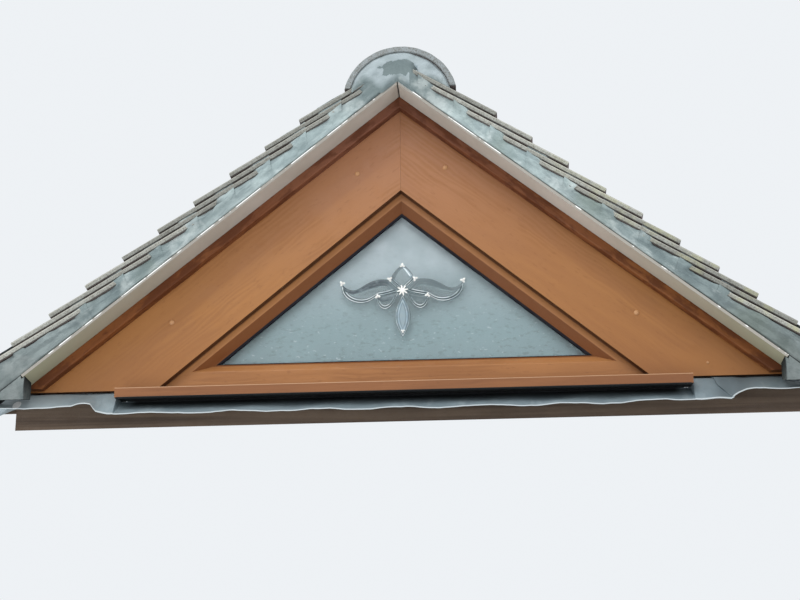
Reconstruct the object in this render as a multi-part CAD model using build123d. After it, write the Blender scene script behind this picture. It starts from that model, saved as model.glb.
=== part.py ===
from build123d import *
import os
from math import atan, cos, pi, radians, sin, sqrt, tan

# Gable dormer window on a tiled roof slope, in millimetres.
# Origin: the middle of the sole plate's bearing face, which lies on the main rafters.
# +X right seen from outside, +Y into the roof, +Z up.

# Main setting out
roof_pitch = 39.3
window_pitch = 40.0
sole_run = 66.0
sole_top = 55.5
verge_apex = 731.0
ridge_board_width = 25.0
ridge_board_depth = 150.0

# Timbers
rafter_width = 47.0
gable_rafter_depth = 130.0
jack_rafter_depth = 100.0
jack_rafter_centre = 423.0
layboard_thickness = 25.0
layboard_width = 200.0
batten_width = 38.0
batten_thickness = 25.0
batten_setback = 33.0
underlay_thickness = 1.5
fit = 0.3

# Verge and mortar
verge_overhang = 103.0
undercloak_thickness = 6.0
undercloak_width = 160.0
undercloak_lift = 7.4
undercloak_mitre = 3.0
mortar_setback = 3.0
mortar_depth = 28.0
mortar_height = 40.0
foot_mortar_width = 115.0
foot_mortar_depth = 50.0
foot_mortar_low = 40.0
foot_mortar_tuck = 11.0

# Plain tiles
tile_length = 265.0
tile_thickness = 12.5
tile_gauge = 97.0
tile_overhang = 4.0
course_clearance = 0.3
ridge_batten_run = 15.4
nib_room = 2.9
course_count = 10
nib_length = 15.0
nib_depth = 10.0
valley_gap = 60.0

# Ridge tiles
ridge_radius = 125.0
ridge_thickness = 13.5
ridge_lift = 2.4
ridge_cut = 27.0
ridge_names = ("front", "middle", "back")
ridge_joint = 4.0
ridge_overhang = 5.0
bedding_width = 22.0
bedding_depth = 40.0
plug_depth = 60.0

# Gable boards and trim
board_thickness = 16.0
board_standoff = 2.0
board_lap = 39.4
board_gap = 2.0
trim_width = 20.0
trim_depth = 21.0
trim_round = 4.0
trim_foot_gap = 3.0
trim_end_gap = 4.0

# Window, as distances in from the frame's outer edge
frame_gap = 7.6
frame_width = 60.0
frame_depth = 60.0
bevel_width = 16.0
bevel_depth = 15.0
bevel_round = 4.0
bevel_foot_round = 1.5
glass_seat = 3.0
rebate_width = 42.0
pane_edge = 46.0
pane_thickness = 4.0
pane_cavity = 16.0
gasket_width = 5.0
gasket_slope = 1.0
spacer_inset = 1.0
spacer_width = 12.0
bead_height = 20.0
bead_slope = 8.0
bead_land = 6.0

# Bevelled glass cluster on the outer pane, as (across, up) from the star's centre
cluster_rise = 12.6
bevel_glass = 5.0
bevel_run = 4.5
bevel_drop = 3.5
star_radius = 11.0
star_glass = 6.0
star_table = 5.0
star_points = 8
piece_gap = 0.5
kite_upper = [(0, 61), (15, 46), (27.5, 25.6)]
kite_lower = [(27.5, 25.6), (14, 12.5), (0, 2)]
drop_side = [(0, -8), (13, -36), (17, -60), (11, -86), (0, -107)]
wing_top = [(31, 26), (46, 27), (82, 15), (106, 4), (122, 9), (134, 22)]
wing_edge = [(134, 22), (128, -6), (98, -26), (74, -24), (56, -12)]
wing_root = [(56, -12), (34, -8), (6, 0)]
lobe_top = [(6, -2), (34, -10), (56, -14)]
lobe_edge = [(56, -14), (54, -28), (40, -42), (26, -36), (17, -22), (6, -2)]

# Sill
sill_overrun = 27.5
sill_gap = 0.2
sill_thickness = 17.5
sill_projection = 65.0
sill_fall = 4.5
sill_nose_height = 21.0
sill_nose_depth = 14.0
sill_cap = 4.0
sill_horn = 14.0
sill_round = 2.0

# Lead
lead = 1.8
apron_edge = 68.0
apron_edge_height = 12.0
fold_drop = 2.5
side_edge_height = 30.0
side_knee = 24.0
side_knee_drop = 7.5
side_fold_gap = 0.7
side_upstand = 112.0
left_lap = 32.0
right_lap = 80.0
apron_lap = 70.0
lead_tongue = 40.0
valley_wing = 140.0
valley_turn = 6.0
saddle_half = 150.0
saddle_length = 190.0
saddle_setback = 12.0
saddle_cover = 15.0
riser_gap = 0.2

os.makedirs("parts", exist_ok=True)

pitch = radians(roof_pitch)
glass_pitch = radians(window_pitch)
face_y = -sole_run / 2
toe_z = face_y * tan(pitch)
toe = Vector(0, face_y, toe_z)
far = 2400.0

deck_apex = verge_apex + undercloak_thickness / cos(pitch)
rafter_inner_apex = verge_apex - gable_rafter_depth / cos(pitch)
sole_half = (verge_apex - sole_top) / tan(pitch)

sill_base = sole_top + lead + sill_gap
sill_back = sill_base + sill_thickness
sill_nose_top = sill_back - sill_fall
sill_nose_bottom = sill_nose_top - sill_nose_height
frame_apex = rafter_inner_apex - frame_gap
frame_half = (frame_apex - sill_back) / tan(glass_pitch)
inradius = (frame_apex - sill_back) / (1 + 1 / cos(glass_pitch))
cluster_centre = sill_back + inradius + cluster_rise
sill_half = frame_half + sill_overrun
board_inner_apex = frame_apex - board_lap
board_bottom = sill_back + board_gap

undercloak_end = (verge_apex - board_bottom - undercloak_lift) / tan(pitch)
foot_mortar_end = undercloak_end + foot_mortar_width
apron_end = undercloak_end + apron_lap
apron_fold_height = sole_top - fold_drop
side_fold_height = board_bottom - side_fold_gap - lead
side_knee_height = side_fold_height - side_knee_drop
step_left = -sill_half - left_lap
step_right = sill_half + right_lap

valley_reach = deck_apex / tan(pitch)
valley_overrun = 1.2 * valley_reach
valley_fold = (valley_reach - layboard_thickness / tan(pitch) * cos(pitch)) / cos(pitch)
course_rise = tile_thickness + course_clearance
tile_tilt = atan(course_rise / sqrt(tile_gauge ** 2 - course_rise ** 2))
batten_top = underlay_thickness + batten_thickness
nib_run = nib_length * cos(tile_tilt) + nib_depth * sin(tile_tilt) + fit
top_tile_length = tile_length - (tile_gauge - batten_width - nib_run - nib_room) / cos(tile_tilt)
tail_underside = batten_top + fit + (tile_length * cos(tile_tilt) - nib_run) * tan(tile_tilt)
tail_top = tail_underside + tile_thickness * cos(tile_tilt)
tail_overlap = tile_thickness * sin(tile_tilt)
first_tail_run = ridge_batten_run - nib_run - tail_overlap + top_tile_length * cos(tile_tilt)
top_course_rise = tail_top - first_tail_run * tan(tile_tilt)
ridge_foot_x = ridge_radius - ridge_thickness
ridge_foot_run = (ridge_foot_x - top_course_rise * sin(pitch)) / (cos(pitch) + tan(tile_tilt) * sin(pitch))
ridge_foot_rise = top_course_rise + ridge_foot_run * tan(tile_tilt)
ridge_foot = deck_apex - ridge_foot_run * sin(pitch) + ridge_foot_rise * cos(pitch) + ridge_lift
ridge_centre = ridge_foot - ridge_cut
verge_y = -verge_overhang
mortar_front = verge_y + mortar_setback
mortar_back = mortar_front + mortar_depth
batten_front = verge_y + batten_setback


def save(name, shape):
    """Writes one node."""
    export_step(shape, f"parts/{name}.step")


def prism(points, reach, rounds=()):
    """Prism of an outline measured from the sole plate's front toe, with some corners rounded."""
    corners = [toe + Vector(*point) for point in points]
    face = Face(Wire.make_polygon(corners))
    for index, radius in rounds:
        face = face.fillet_2d(radius, face.vertices().sort_by_distance(corners[index])[:1])
    return Solid.extrude(face, Vector(*reach))


def across(points, front, back):
    """Prism of an (x, z) outline that runs from front to back."""
    return prism([(x, front, z) for x, z in points], (0, back - front, 0))


def along(points, left, right, rounds=()):
    """Prism of a (y, z) outline that runs from left to right."""
    return prism([(left, y, z) for y, z in points], (right - left, 0, 0), rounds)


def rectangle(left, right, low, high):
    """The corners of a rectangle in order."""
    return [(left, low), (right, low), (right, high), (left, high)]


def upright(points):
    """Tall prism of an (x, y) outline."""
    return prism([(x, y, -far) for x, y in points], (0, 0, 2 * far))


def disc(radius, front, back):
    """Cylinder about the ridge tile's centre line."""
    middle = toe + Vector(0, (front + back) / 2, ridge_centre)
    return Pos(*middle) * Rot(90, 0, 0) * Cylinder(radius, back - front)


def slope(side, run, height):
    """The (x, z) of a point on one slope: run down the deck, height square to it."""
    x = run * cos(pitch) + height * sin(pitch)
    z = deck_apex - run * sin(pitch) + height * cos(pitch)
    return side * x, z


def on_slope(side, points, front, back):
    """Prism of an outline given as (run, height) on one slope."""
    return across([slope(side, run, height) for run, height in points], front, back)


def raked(side, section, rounds=()):
    """Bar with a (height, y) section that runs the whole length of one slope."""
    start, end = slope(side, -far, 0), slope(side, far, 0)
    points = [(slope(side, -far, height)[0], y, slope(side, -far, height)[1]) for height, y in section]
    return prism(points, (end[0] - start[0], 0, end[1] - start[1]), rounds)


def main_point(x, run, height):
    """A point on the main roof: run up its rafters, height square to them."""
    return (x, run * cos(pitch) - height * sin(pitch), run * sin(pitch) + height * cos(pitch))


def below_main(height):
    """Everything lower than a plane at this height over the main rafters."""
    rise = height / cos(pitch)
    points = [(-far, rise - far * tan(pitch)), (far, rise + far * tan(pitch)), (far, -far), (-far, -far)]
    return along(points, -far, far)


def up_to_run(run):
    """Everything on the main roof up to this run of its rafters."""
    corners = [(-far, -far), (run, -far), (run, far), (-far, far)]
    return along([main_point(0, *corner)[1:] for corner in corners], -far, far)


def beyond_valley(side, gap):
    """Everything past a plumb cut this far short of the valley."""
    start = valley_reach - gap * sqrt(2)
    points = [(0, start), (side * far, start - far), (side * far, 2 * far), (0, 2 * far)]
    return upright(points)


def one_side(side):
    """The half of space on one side of the centre line."""
    return across(rectangle(0, side * far, -far, far), -far, far)


def centre_gap():
    """The narrow gap between the two slopes' sheets at the ridge."""
    return across(rectangle(-fit, fit, -far, far), -far, far)


def largest(shape):
    """The biggest solid of a shape."""
    return shape.solids().sort_by(SortBy.VOLUME)[-1]


def sole_plate():
    """Plate bevelled to the main rafters, flat on top."""
    drop = sole_top / tan(pitch)
    return along([(0, 0), (0, sole_top), (drop, sole_top)], -sole_half, sole_half)


def ridge_board():
    """Board between the rafters, cut to the layboards behind."""
    half = ridge_board_width / 2
    top = deck_apex - half * tan(pitch)
    board = across(rectangle(-half, half, top - ridge_board_depth, top), 0, far / 2)
    seat = top - undercloak_thickness / cos(pitch) - fit
    notch = across(rectangle(-half, half, seat, far), -far, verge_y + undercloak_width + fit)
    return largest(board - notch - below_main(layboard_thickness + fit))


def valley_strip(side, below, above, height, thickness, foot):
    """Sheet along one valley, with its edges this far down and up the main roof from the fold."""
    high = valley_fold
    low = valley_fold - valley_overrun / cos(pitch)
    reach = side * valley_overrun
    points = [main_point(0, high - below, height), main_point(reach, low - below, height),
              main_point(reach, low + above, height), main_point(0, high + above, height)]
    sheet = prism(points, main_point(0, 0, thickness))
    room = upright([(side * fit, foot), (side * far, foot), (side * far, far), (side * fit, far)])
    return sheet & room


def layboard(side):
    """Board on the main rafters under one valley."""
    spread = layboard_width / 2 * sqrt(1 + cos(pitch) ** 2) / cos(pitch)
    foot = sole_top / tan(pitch) + fit
    return largest(valley_strip(side, spread, spread, 0, layboard_thickness, foot))


def gable_rafter(side):
    """Rafter at the gable, seated on the sole plate."""
    half = ridge_board_width / 2
    inner = verge_apex - gable_rafter_depth / cos(pitch)
    points = [(half, verge_apex - half * tan(pitch)), ((verge_apex - sole_top) / tan(pitch), sole_top),
              ((inner - sole_top) / tan(pitch), sole_top), (half, inner - half * tan(pitch))]
    return across([(side * x, z) for x, z in points], 0, rafter_width)


def jack_rafter(side):
    """Rafter from the ridge board to the layboard."""
    half = ridge_board_width / 2
    front = jack_rafter_centre - rafter_width / 2
    rafter = on_slope(side, rectangle(-far, far, -jack_rafter_depth, 0), front, front + rafter_width)
    room = across(rectangle(side * half, side * far, -far, far), -far, far)
    return largest((rafter & room) - below_main(layboard_thickness))


def underlay(side):
    """Membrane over the rafters, cut at the valley lead."""
    length = valley_reach / cos(pitch)
    sheet = on_slope(side, rectangle(0, length, 0, underlay_thickness), batten_front, far / 2)
    return largest(sheet - beyond_valley(side, valley_wing + fit) - centre_gap())


def course_tail(course):
    """Run down the deck to a course's tail."""
    return first_tail_run + course * tile_gauge


def course_length(course):
    """The top course is of short tiles."""
    return top_tile_length if course == 0 else tile_length


def battens(side):
    """One batten under the head of each course."""
    rows = []
    for course in range(course_count):
        tail = course_tail(course) + tail_overlap
        high = tail - course_length(course) * cos(tile_tilt) + nib_run
        low = high + batten_width
        row = on_slope(side, rectangle(high, low, underlay_thickness, batten_top), batten_front, far / 2)
        rows += (row - beyond_valley(side, valley_wing + fit)).solids()
    return Compound(children=rows)


def tile_course(side, course):
    """One course as a tilted slab with a nib along its head."""
    tail = course_tail(course)
    length = course_length(course)
    under = Vector(-cos(tile_tilt), -sin(tile_tilt))
    square = Vector(-sin(tile_tilt), cos(tile_tilt))
    start = Vector(tail + tail_overlap, tail_underside)
    head = start + under * length
    outline = [start, start + square * tile_thickness, head + square * tile_thickness,
               head - square * nib_depth, head - square * nib_depth - under * nib_length,
               head - under * nib_length]
    slab = on_slope(side, [(point.X, point.Y) for point in outline], verge_y - tile_overhang, far / 2)
    return slab - beyond_valley(side, valley_gap)


def tile_courses(side):
    """All courses of one slope, each bearing on the one below."""
    rows = []
    for course in range(course_count):
        rows += tile_course(side, course).solids()
    return rows


def undercloak(side):
    """Board under the verge tiles, cut square at its foot."""
    mitre = undercloak_mitre / 2
    foot = undercloak_end / cos(pitch)
    strip = on_slope(side, rectangle(-undercloak_width, foot, -undercloak_thickness, 0), verge_y,
                     verge_y + undercloak_width)
    room = across(rectangle(side * mitre, side * far, -far, far), -far, far)
    return largest(strip & room)


def apron_profile(edge_height):
    """Upper face of the lead under a gable board, as (y, z) from its edge to its fold."""
    return [(-apron_edge, edge_height + lead), (-side_knee, side_knee_height + lead),
            (-lead, side_fold_height + lead)]


def apron_sheet(edge_height, start, end):
    """Lead under a gable board, turned up behind it."""
    edge, knee, fold = apron_profile(edge_height)
    outline = [edge, knee, fold, (-lead, side_upstand), (0, side_upstand), (0, fold[1] - lead),
               (knee[0], knee[1] - lead), (edge[0], edge[1] - lead)]
    return along(outline, start, end)


def under_side_lead():
    """Everything lower than the side pieces of the lead apron."""
    top = apron_profile(side_edge_height)
    slope_y, slope_z = top[0][0] - top[1][0], top[0][1] - top[1][1]
    outer = (top[0][0] + slope_y * 3, top[0][1] + slope_z * 3)
    points = [outer] + top + [(far / 4, top[-1][1]), (far / 4, -far), (outer[0], -far)]
    return along(points, -far, far)


def verge_mortar(side, tiles, cloak):
    """Mortar between the undercloak and the tiles, with the packing at the verge's foot."""
    end = foot_mortar_end / cos(pitch)
    bed = on_slope(side, rectangle(-mortar_height, end, 0, mortar_height), mortar_front, mortar_back)
    bed = bed & one_side(side)
    high = undercloak_end / cos(pitch)
    inner, outer = slope(side, high, 0), slope(side, (deck_apex - foot_mortar_low) / sin(pitch), 0)
    tuck = slope(side, high, -undercloak_thickness - fit)
    tucked = tuck[0] - side * foot_mortar_tuck, tuck[1] + foot_mortar_tuck * tan(pitch)
    foot = across([inner, outer, (tucked[0], foot_mortar_low), tucked, tuck], mortar_front,
                  mortar_front + foot_mortar_depth)
    mortar = bed + foot
    for tile in tiles:
        mortar = mortar - tile
    return largest(mortar - under_side_lead() - cloak)


def ridge_tile(front, back):
    """Half-round tile, cut level at its feet."""
    below = across(rectangle(-far, far, -far, ridge_foot), -far, far)
    return disc(ridge_radius, front, back) - disc(ridge_radius - ridge_thickness, front, back) - below


def ridge_bedding(side, tiles):
    """Mortar between a ridge tile's foot and the top course."""
    inner = ridge_radius - bedding_width
    outline = rectangle(side * inner, side * ridge_radius, ridge_foot - bedding_depth, ridge_foot)
    strip = across(outline, mortar_back, far / 2)
    for tile in tiles[:2]:
        strip = strip - tile
    strip = strip - beyond_valley(side, valley_gap)
    return strip.solids().sort_by(Axis.Z)[-1]


def ridge_end_mortar(others):
    """Mortar plug in the front end of the ridge tile."""
    plug = disc(ridge_radius - ridge_thickness, mortar_front, mortar_back)
    low = deck_apex - plug_depth
    plug = plug - across(rectangle(-far, far, -far, low), -far, far)
    for other in others:
        plug = plug - other
    return plug.solids().sort_by(Axis.Z)[-1]


def gable_board(side):
    """Board from the undercloak to the window, butted at the centre."""
    front = -board_standoff - board_thickness
    top = verge_apex - fit
    outer = (top - board_bottom) / tan(pitch)
    inner = (board_inner_apex - board_bottom) / tan(glass_pitch)
    points = [(fit / 2, top), (outer, board_bottom), (inner, board_bottom), (fit / 2, board_inner_apex)]
    return across([(side * x, z) for x, z in points], front, -board_standoff)


def raking_trim(side):
    """Strip planted on the gable board under the undercloak."""
    back = -board_standoff - board_thickness
    top = -undercloak_thickness - fit
    front = back - trim_depth
    section = [(top, back), (top, front), (top - trim_width, front), (top - trim_width, back)]
    strip = raked(side, section, [(2, trim_round)])
    foot = board_bottom + trim_foot_gap
    end = side * (undercloak_end - trim_end_gap)
    return largest(strip & across(rectangle(0, end, foot, far), -far, far))


def frame_corner(corner, inset):
    """A corner of the window's triangle, this far in from the frame's outer edge."""
    apex = frame_apex - inset / cos(glass_pitch)
    foot = sill_back + inset
    if corner == "top":
        return 0.0, apex
    x = (apex - foot) / tan(glass_pitch)
    return (-x if corner == "left" else x), foot


def frame_point(corner, inset, y):
    """A corner of the window's triangle in space."""
    x, z = frame_corner(corner, inset)
    return x, y, z


def mitred(section, first, second, rounds=()):
    """A member with this (inset, y) section, cut at the bisectors of two corners."""
    start = Vector(*frame_point(first, 0, 0))
    run = Vector(*frame_point(second, 0, 0)) - start
    inward = Vector(*frame_point(first, 1, 0)) - start
    inward = (inward - run.normalized() * inward.dot(run.normalized())).normalized()
    bar = prism([start - run + inward * inset + Vector(0, y, 0) for inset, y in section], run * 3, rounds)
    incentre = (0, sill_back + inradius)
    wedge = across([frame_corner(first, 0), frame_corner(second, 0), incentre], -far, far)
    return largest(bar & wedge)


def window_triangle(inset, front, back):
    """Triangular plate, this far in from the frame's outer edge."""
    return across([frame_corner(corner, inset) for corner in ("left", "right", "top")], front, back)


def ring(section):
    """Three mitred members joined into one ring."""
    return mitred(section, "left", "top") + mitred(section, "top", "right") + mitred(section, "right", "left")


seat_y = bevel_depth + glass_seat
pane_back = seat_y + 2 * pane_thickness + pane_cavity
frame_section = [(0, 0), (frame_width - bevel_width, 0), (frame_width, bevel_depth), (frame_width, seat_y),
                 (rebate_width, seat_y), (rebate_width, frame_depth), (0, frame_depth)]
frame_rounds = [(1, bevel_round), (2, bevel_foot_round)]
bead_section = [(rebate_width, pane_back), (rebate_width + bead_height, pane_back),
                (rebate_width + bead_height, pane_back + bead_land),
                (rebate_width + bead_height - bead_slope, frame_depth), (rebate_width, frame_depth)]
gasket_section = [(frame_width, bevel_depth), (frame_width + gasket_width, bevel_depth + gasket_slope),
                  (frame_width + gasket_width, seat_y), (frame_width, seat_y)]
spacer_section = [(inset, y) for y, inset in rectangle(
    seat_y + pane_thickness, pane_back - pane_thickness, pane_edge + spacer_inset, pane_edge + spacer_width)]


def bevelled_glass(side, curves):
    """Glass with its outline given as curves, bevelled all round its face."""
    middle = toe + Vector(0, seat_y, cluster_centre)
    edges = [Edge.make_spline([middle + Vector(side * x, 0, z) for x, z in points]) for points in curves]
    glass = Solid.extrude(Face(Wire(edges)), Vector(0, -bevel_glass, 0))
    face = glass.faces().sort_by(Axis.Y)[0]
    return glass.chamfer(bevel_drop, bevel_run, face.edges())


def mirrored(points):
    """The same curve on the other side of the centre line, run the other way."""
    return [(-x, z) for x, z in reversed(points)]


def star():
    """Small faceted stone at the centre of the cluster."""
    rim = []
    table = []
    for index in range(2 * star_points):
        angle = pi * index / star_points
        reach = star_radius if index % 2 == 0 else star_radius * cos(pi / star_points)
        rim.append((reach * sin(angle), reach * cos(angle)))
        table.append((star_table * sin(angle), star_table * cos(angle)))
    outlines = []
    for points, y in ((rim, seat_y), (rim, seat_y - star_glass / 3), (table, seat_y - star_glass)):
        outlines.append(Wire.make_polygon([toe + Vector(x, y, cluster_centre + z) for x, z in points]))
    return Solid.make_loft(outlines, ruled=True)


def bevel_cluster():
    """Bevelled pieces that stand on the outer pane round a faceted stone: kite, drop, wings and lobes."""
    pieces = [bevelled_glass(1, [kite_upper, kite_lower, mirrored(kite_lower), mirrored(kite_upper)]),
              bevelled_glass(1, [drop_side, mirrored(drop_side)])]
    for side in (-1, 1):
        pieces.append(bevelled_glass(side, [wing_top, wing_edge, wing_root, [wing_root[-1], wing_top[0]]]))
        pieces.append(bevelled_glass(side, [lobe_top, lobe_edge]))
    middle = toe + Vector(0, seat_y, cluster_centre)
    room = Pos(*middle) * Rot(90, 0, 0) * Cylinder(star_radius + piece_gap, 4 * bevel_glass)
    return Compound(children=[largest(piece - room) for piece in pieces] + [star()])


def sill():
    """Sill under the frame, with a nose in front and a drip behind it."""
    nose = -sill_projection
    outline = [(frame_depth, sill_base), (frame_depth, sill_back), (0, sill_back), (nose, sill_nose_top),
               (nose, sill_nose_bottom), (nose + sill_nose_depth, sill_nose_bottom),
               (nose + sill_nose_depth, sill_base)]
    half = sill_half - sill_cap
    body = along(outline, -half, half, [(3, sill_round), (4, sill_round)])
    inner = sill_half - sill_horn
    horn_room = rectangle(-board_standoff, far, 0, far)
    return body - along(horn_room, -far, -inner) - along(horn_room, inner, far)


def sill_end_cap(side):
    """Cap over one end of the sill."""
    nose = -sill_projection
    back_rise = (sill_back - sill_nose_top) * board_standoff / sill_projection
    outline = [(-board_standoff, sill_base), (-board_standoff, sill_back - back_rise), (nose, sill_nose_top),
               (nose, sill_nose_bottom), (nose + sill_nose_depth, sill_nose_bottom),
               (nose + sill_nose_depth, sill_base)]
    outer = side * sill_half
    return along(outline, outer - side * sill_cap, outer)


def apron_middle():
    """Lead in front of the window, turned over the sole plate, with a riser at each end of the sill."""
    edge = (-apron_edge, apron_edge_height + lead)
    fold = (-lead, apron_fold_height + lead)
    riser_start = sill_half + riser_gap
    riser_end = riser_start + lead
    sheet = along([edge, fold, (-lead, sole_top + lead), (0, sole_top + lead), (0, fold[1] - lead),
                   (edge[0], edge[1] - lead)], -riser_end, riser_end)
    half = sill_half - sill_horn
    tongue = along([(-lead, sole_top), (lead_tongue, sole_top), (lead_tongue, sole_top + lead),
                    (-lead, sole_top + lead)], -half, half)
    sheet = sheet + tongue
    riser = [edge] + apron_profile(apron_edge_height)[1:]
    riser += [(-lead, apron_fold_height), (edge[0], edge[1] - lead)]
    for side, outer in ((-1, step_left + fit), (1, step_right - fit)):
        sheet = sheet + along(riser, side * riser_start, side * riser_end)
        sheet = sheet + apron_sheet(apron_edge_height, side * riser_start, outer)
    return sheet


def apron_side(side):
    """The side piece of the lead apron, cut to the gable's slope."""
    start = step_right if side > 0 else step_left
    top = verge_apex - fit
    above = across([(0, top), (side * far, top - far * tan(pitch)), (side * far, far), (0, far)], -far, far)
    return largest(apron_sheet(side_edge_height, start, side * apron_end) - above)


def valley_lead(side):
    """Lead folded along one valley, with a wing on each roof."""
    spread = valley_wing * sqrt(1 + cos(pitch) ** 2) / cos(pitch)
    wing = valley_strip(side, valley_turn, spread, layboard_thickness, lead, fit)
    wing = wing & up_to_run(valley_fold + saddle_length - saddle_cover)
    deck_side = across([(0, far), (side * far, far), slope(side, far, 0), slope(side, 0, 0)], -far, far)
    inner = on_slope(side, rectangle(0, valley_overrun / cos(pitch), 0, lead), fit, far / 2)
    inner = (inner & beyond_valley(side, valley_wing)) - below_main(layboard_thickness) - centre_gap()
    return largest((wing & deck_side) + inner)


def lead_saddle():
    """Lead over the heads of the two valleys."""
    height = layboard_thickness + lead
    low = valley_fold + saddle_setback
    high = valley_fold + saddle_length
    drop = saddle_half / cos(pitch)
    outline = [main_point(0, low, height), main_point(saddle_half, low - drop, height),
               main_point(saddle_half, high, height), main_point(-saddle_half, high, height),
               main_point(-saddle_half, low - drop, height)]
    return prism(outline, main_point(0, 0, lead))


sides = (("left", -1), ("right", 1))
save("sole_plate", sole_plate())
save("ridge_board", ridge_board())
save("frame_bottom_rail", mitred(frame_section, "right", "left", frame_rounds))
save("glazing_bead_bottom", mitred(bead_section, "right", "left"))
save("glazing_gasket", ring(gasket_section))
save("spacer_bar", ring(spacer_section))
save("outer_pane", window_triangle(pane_edge, seat_y, seat_y + pane_thickness))
save("inner_pane", window_triangle(pane_edge, pane_back - pane_thickness, pane_back))
save("bevel_cluster", bevel_cluster())
save("sill", sill())
save("lead_apron_middle", apron_middle())
save("lead_saddle", lead_saddle())

mortars = []
cloaks = []
tiles = {}
for name, side in sides:
    tiles[name] = tile_courses(side)
    cloak = undercloak(side)
    mortar = verge_mortar(side, tiles[name], cloak)
    mortars.append(mortar)
    cloaks.append(cloak)
    save(f"layboard_{name}", layboard(side))
    save(f"gable_rafter_{name}", gable_rafter(side))
    save(f"jack_rafter_{name}", jack_rafter(side))
    save(f"underlay_{name}", underlay(side))
    save(f"battens_{name}", battens(side))
    save(f"tile_courses_{name}", Compound(children=tiles[name]))
    save(f"undercloak_{name}", cloak)
    save(f"verge_mortar_{name}", mortar)
    save(f"ridge_bedding_{name}", ridge_bedding(side, tiles[name]))
    save(f"gable_board_{name}", gable_board(side))
    save(f"raking_trim_{name}", raking_trim(side))
    save(f"frame_rake_{name}", mitred(frame_section, name, "top", frame_rounds))
    save(f"glazing_bead_{name}", mitred(bead_section, name, "top"))
    save(f"sill_end_cap_{name}", sill_end_cap(side))
    save(f"lead_apron_{name}", apron_side(side))
    save(f"valley_lead_{name}", valley_lead(side))

front = verge_y - ridge_overhang
back_height = layboard_thickness + 2 * lead + fit
crown_end = (ridge_centre + ridge_radius - back_height / cos(pitch)) / tan(pitch)
ridge_pitch = (crown_end - front + ridge_joint) / len(ridge_names)
for index, name in enumerate(ridge_names):
    start = front + index * ridge_pitch
    tile = ridge_tile(start, start + ridge_pitch - ridge_joint)
    save(f"ridge_tile_{name}", largest(tile - below_main(back_height)))
save("ridge_end_mortar", ridge_end_mortar(mortars + cloaks + tiles["left"] + tiles["right"]))
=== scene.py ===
from math import atan, cos, pi, radians, sin, sqrt, tan

import bpy
import numpy as np
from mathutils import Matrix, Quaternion, Vector


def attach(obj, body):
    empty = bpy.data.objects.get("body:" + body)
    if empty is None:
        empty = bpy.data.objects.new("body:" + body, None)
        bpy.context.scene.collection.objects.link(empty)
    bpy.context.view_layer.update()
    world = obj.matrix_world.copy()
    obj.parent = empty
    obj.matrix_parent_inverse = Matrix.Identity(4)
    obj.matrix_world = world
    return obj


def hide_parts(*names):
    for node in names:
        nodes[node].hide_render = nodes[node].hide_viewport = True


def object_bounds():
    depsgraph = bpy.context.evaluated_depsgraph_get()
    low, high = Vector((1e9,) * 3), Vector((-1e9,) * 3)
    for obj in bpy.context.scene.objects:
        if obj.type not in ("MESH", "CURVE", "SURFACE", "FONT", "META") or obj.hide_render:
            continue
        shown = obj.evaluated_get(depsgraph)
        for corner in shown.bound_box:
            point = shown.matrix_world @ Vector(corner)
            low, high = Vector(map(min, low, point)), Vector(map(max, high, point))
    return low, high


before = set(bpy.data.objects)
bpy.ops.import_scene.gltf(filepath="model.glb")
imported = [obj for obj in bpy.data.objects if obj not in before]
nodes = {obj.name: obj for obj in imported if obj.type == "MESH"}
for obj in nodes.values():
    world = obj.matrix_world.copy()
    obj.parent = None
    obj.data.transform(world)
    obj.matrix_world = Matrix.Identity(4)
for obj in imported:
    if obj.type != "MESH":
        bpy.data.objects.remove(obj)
cadBox = [list(corner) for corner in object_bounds()]

# All lengths are in metres. "Toe" points are measured from the window's face and the foot of the sole plate.
roof = dict(pitch=radians(39.3), windowPitch=radians(40.0), toe=(0.0, -0.033, -0.02701), vergeApex=0.731,
            undercloak=0.006, undercloakEnd=0.790, vergeFront=-0.103, valleyGap=0.060)
toeX, toeY, toeZ = roof["toe"]
slopeSin, slopeCos, slopeTan = sin(roof["pitch"]), cos(roof["pitch"]), tan(roof["pitch"])
windowCos, windowTan = cos(roof["windowPitch"]), tan(roof["windowPitch"])
deckApex = roof["vergeApex"] + roof["undercloak"] / slopeCos
valleyReach = deckApex / slopeTan
tileLimit = valleyReach - roof["valleyGap"] * sqrt(2)
sides = (("left", -1), ("right", 1))


# Camera and light

view = dict(place=(0.2159, -3.4413, -0.9355), aim=(-0.0045, -0.033, 0.2416), roll=radians(0.45), lens=75.8,
            sensor=36.0)
studio = dict(floorDrop=2.6, floorSize=40.0, floorColour=(0.62, 0.63, 0.63), floorRough=0.9,
              skyColour=(0.90, 0.93, 0.96), skyStrength=0.95)
lamps = [dict(name="skyLamp", place=(-1.2, -2.6, 3.6), aim=(0.0, 0.0, 0.3), size=3.0, power=89.0),
         dict(name="fillLamp", place=(2.8, -2.4, 0.6), aim=(0.0, 0.0, 0.3), size=2.4, power=22.0),
         dict(name="lowLamp", place=(-1.6, -2.4, -1.2), aim=(0.0, 0.0, 0.3), size=1.6, power=24.0),
         dict(name="backLamp", place=(0.8, 3.6, 2.8), aim=(0.0, 0.3, 0.3), size=3.0, power=60.0)]


def placed(name, data, place, aim, roll=0.0):
    item = bpy.data.objects.new(name, data)
    item.location = place
    item.rotation_mode = "QUATERNION"
    direction = Vector(aim) - Vector(place)
    item.rotation_quaternion = direction.to_track_quat("-Z", "Y") @ Quaternion((0, 0, 1), roll)
    bpy.context.scene.collection.objects.link(item)
    return item


def addCamera():
    data = bpy.data.cameras.new("photoCamera")
    data.lens, data.sensor_width = view["lens"], view["sensor"]
    bpy.context.scene.camera = placed("photoCamera", data, view["place"], view["aim"], -view["roll"])


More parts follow.
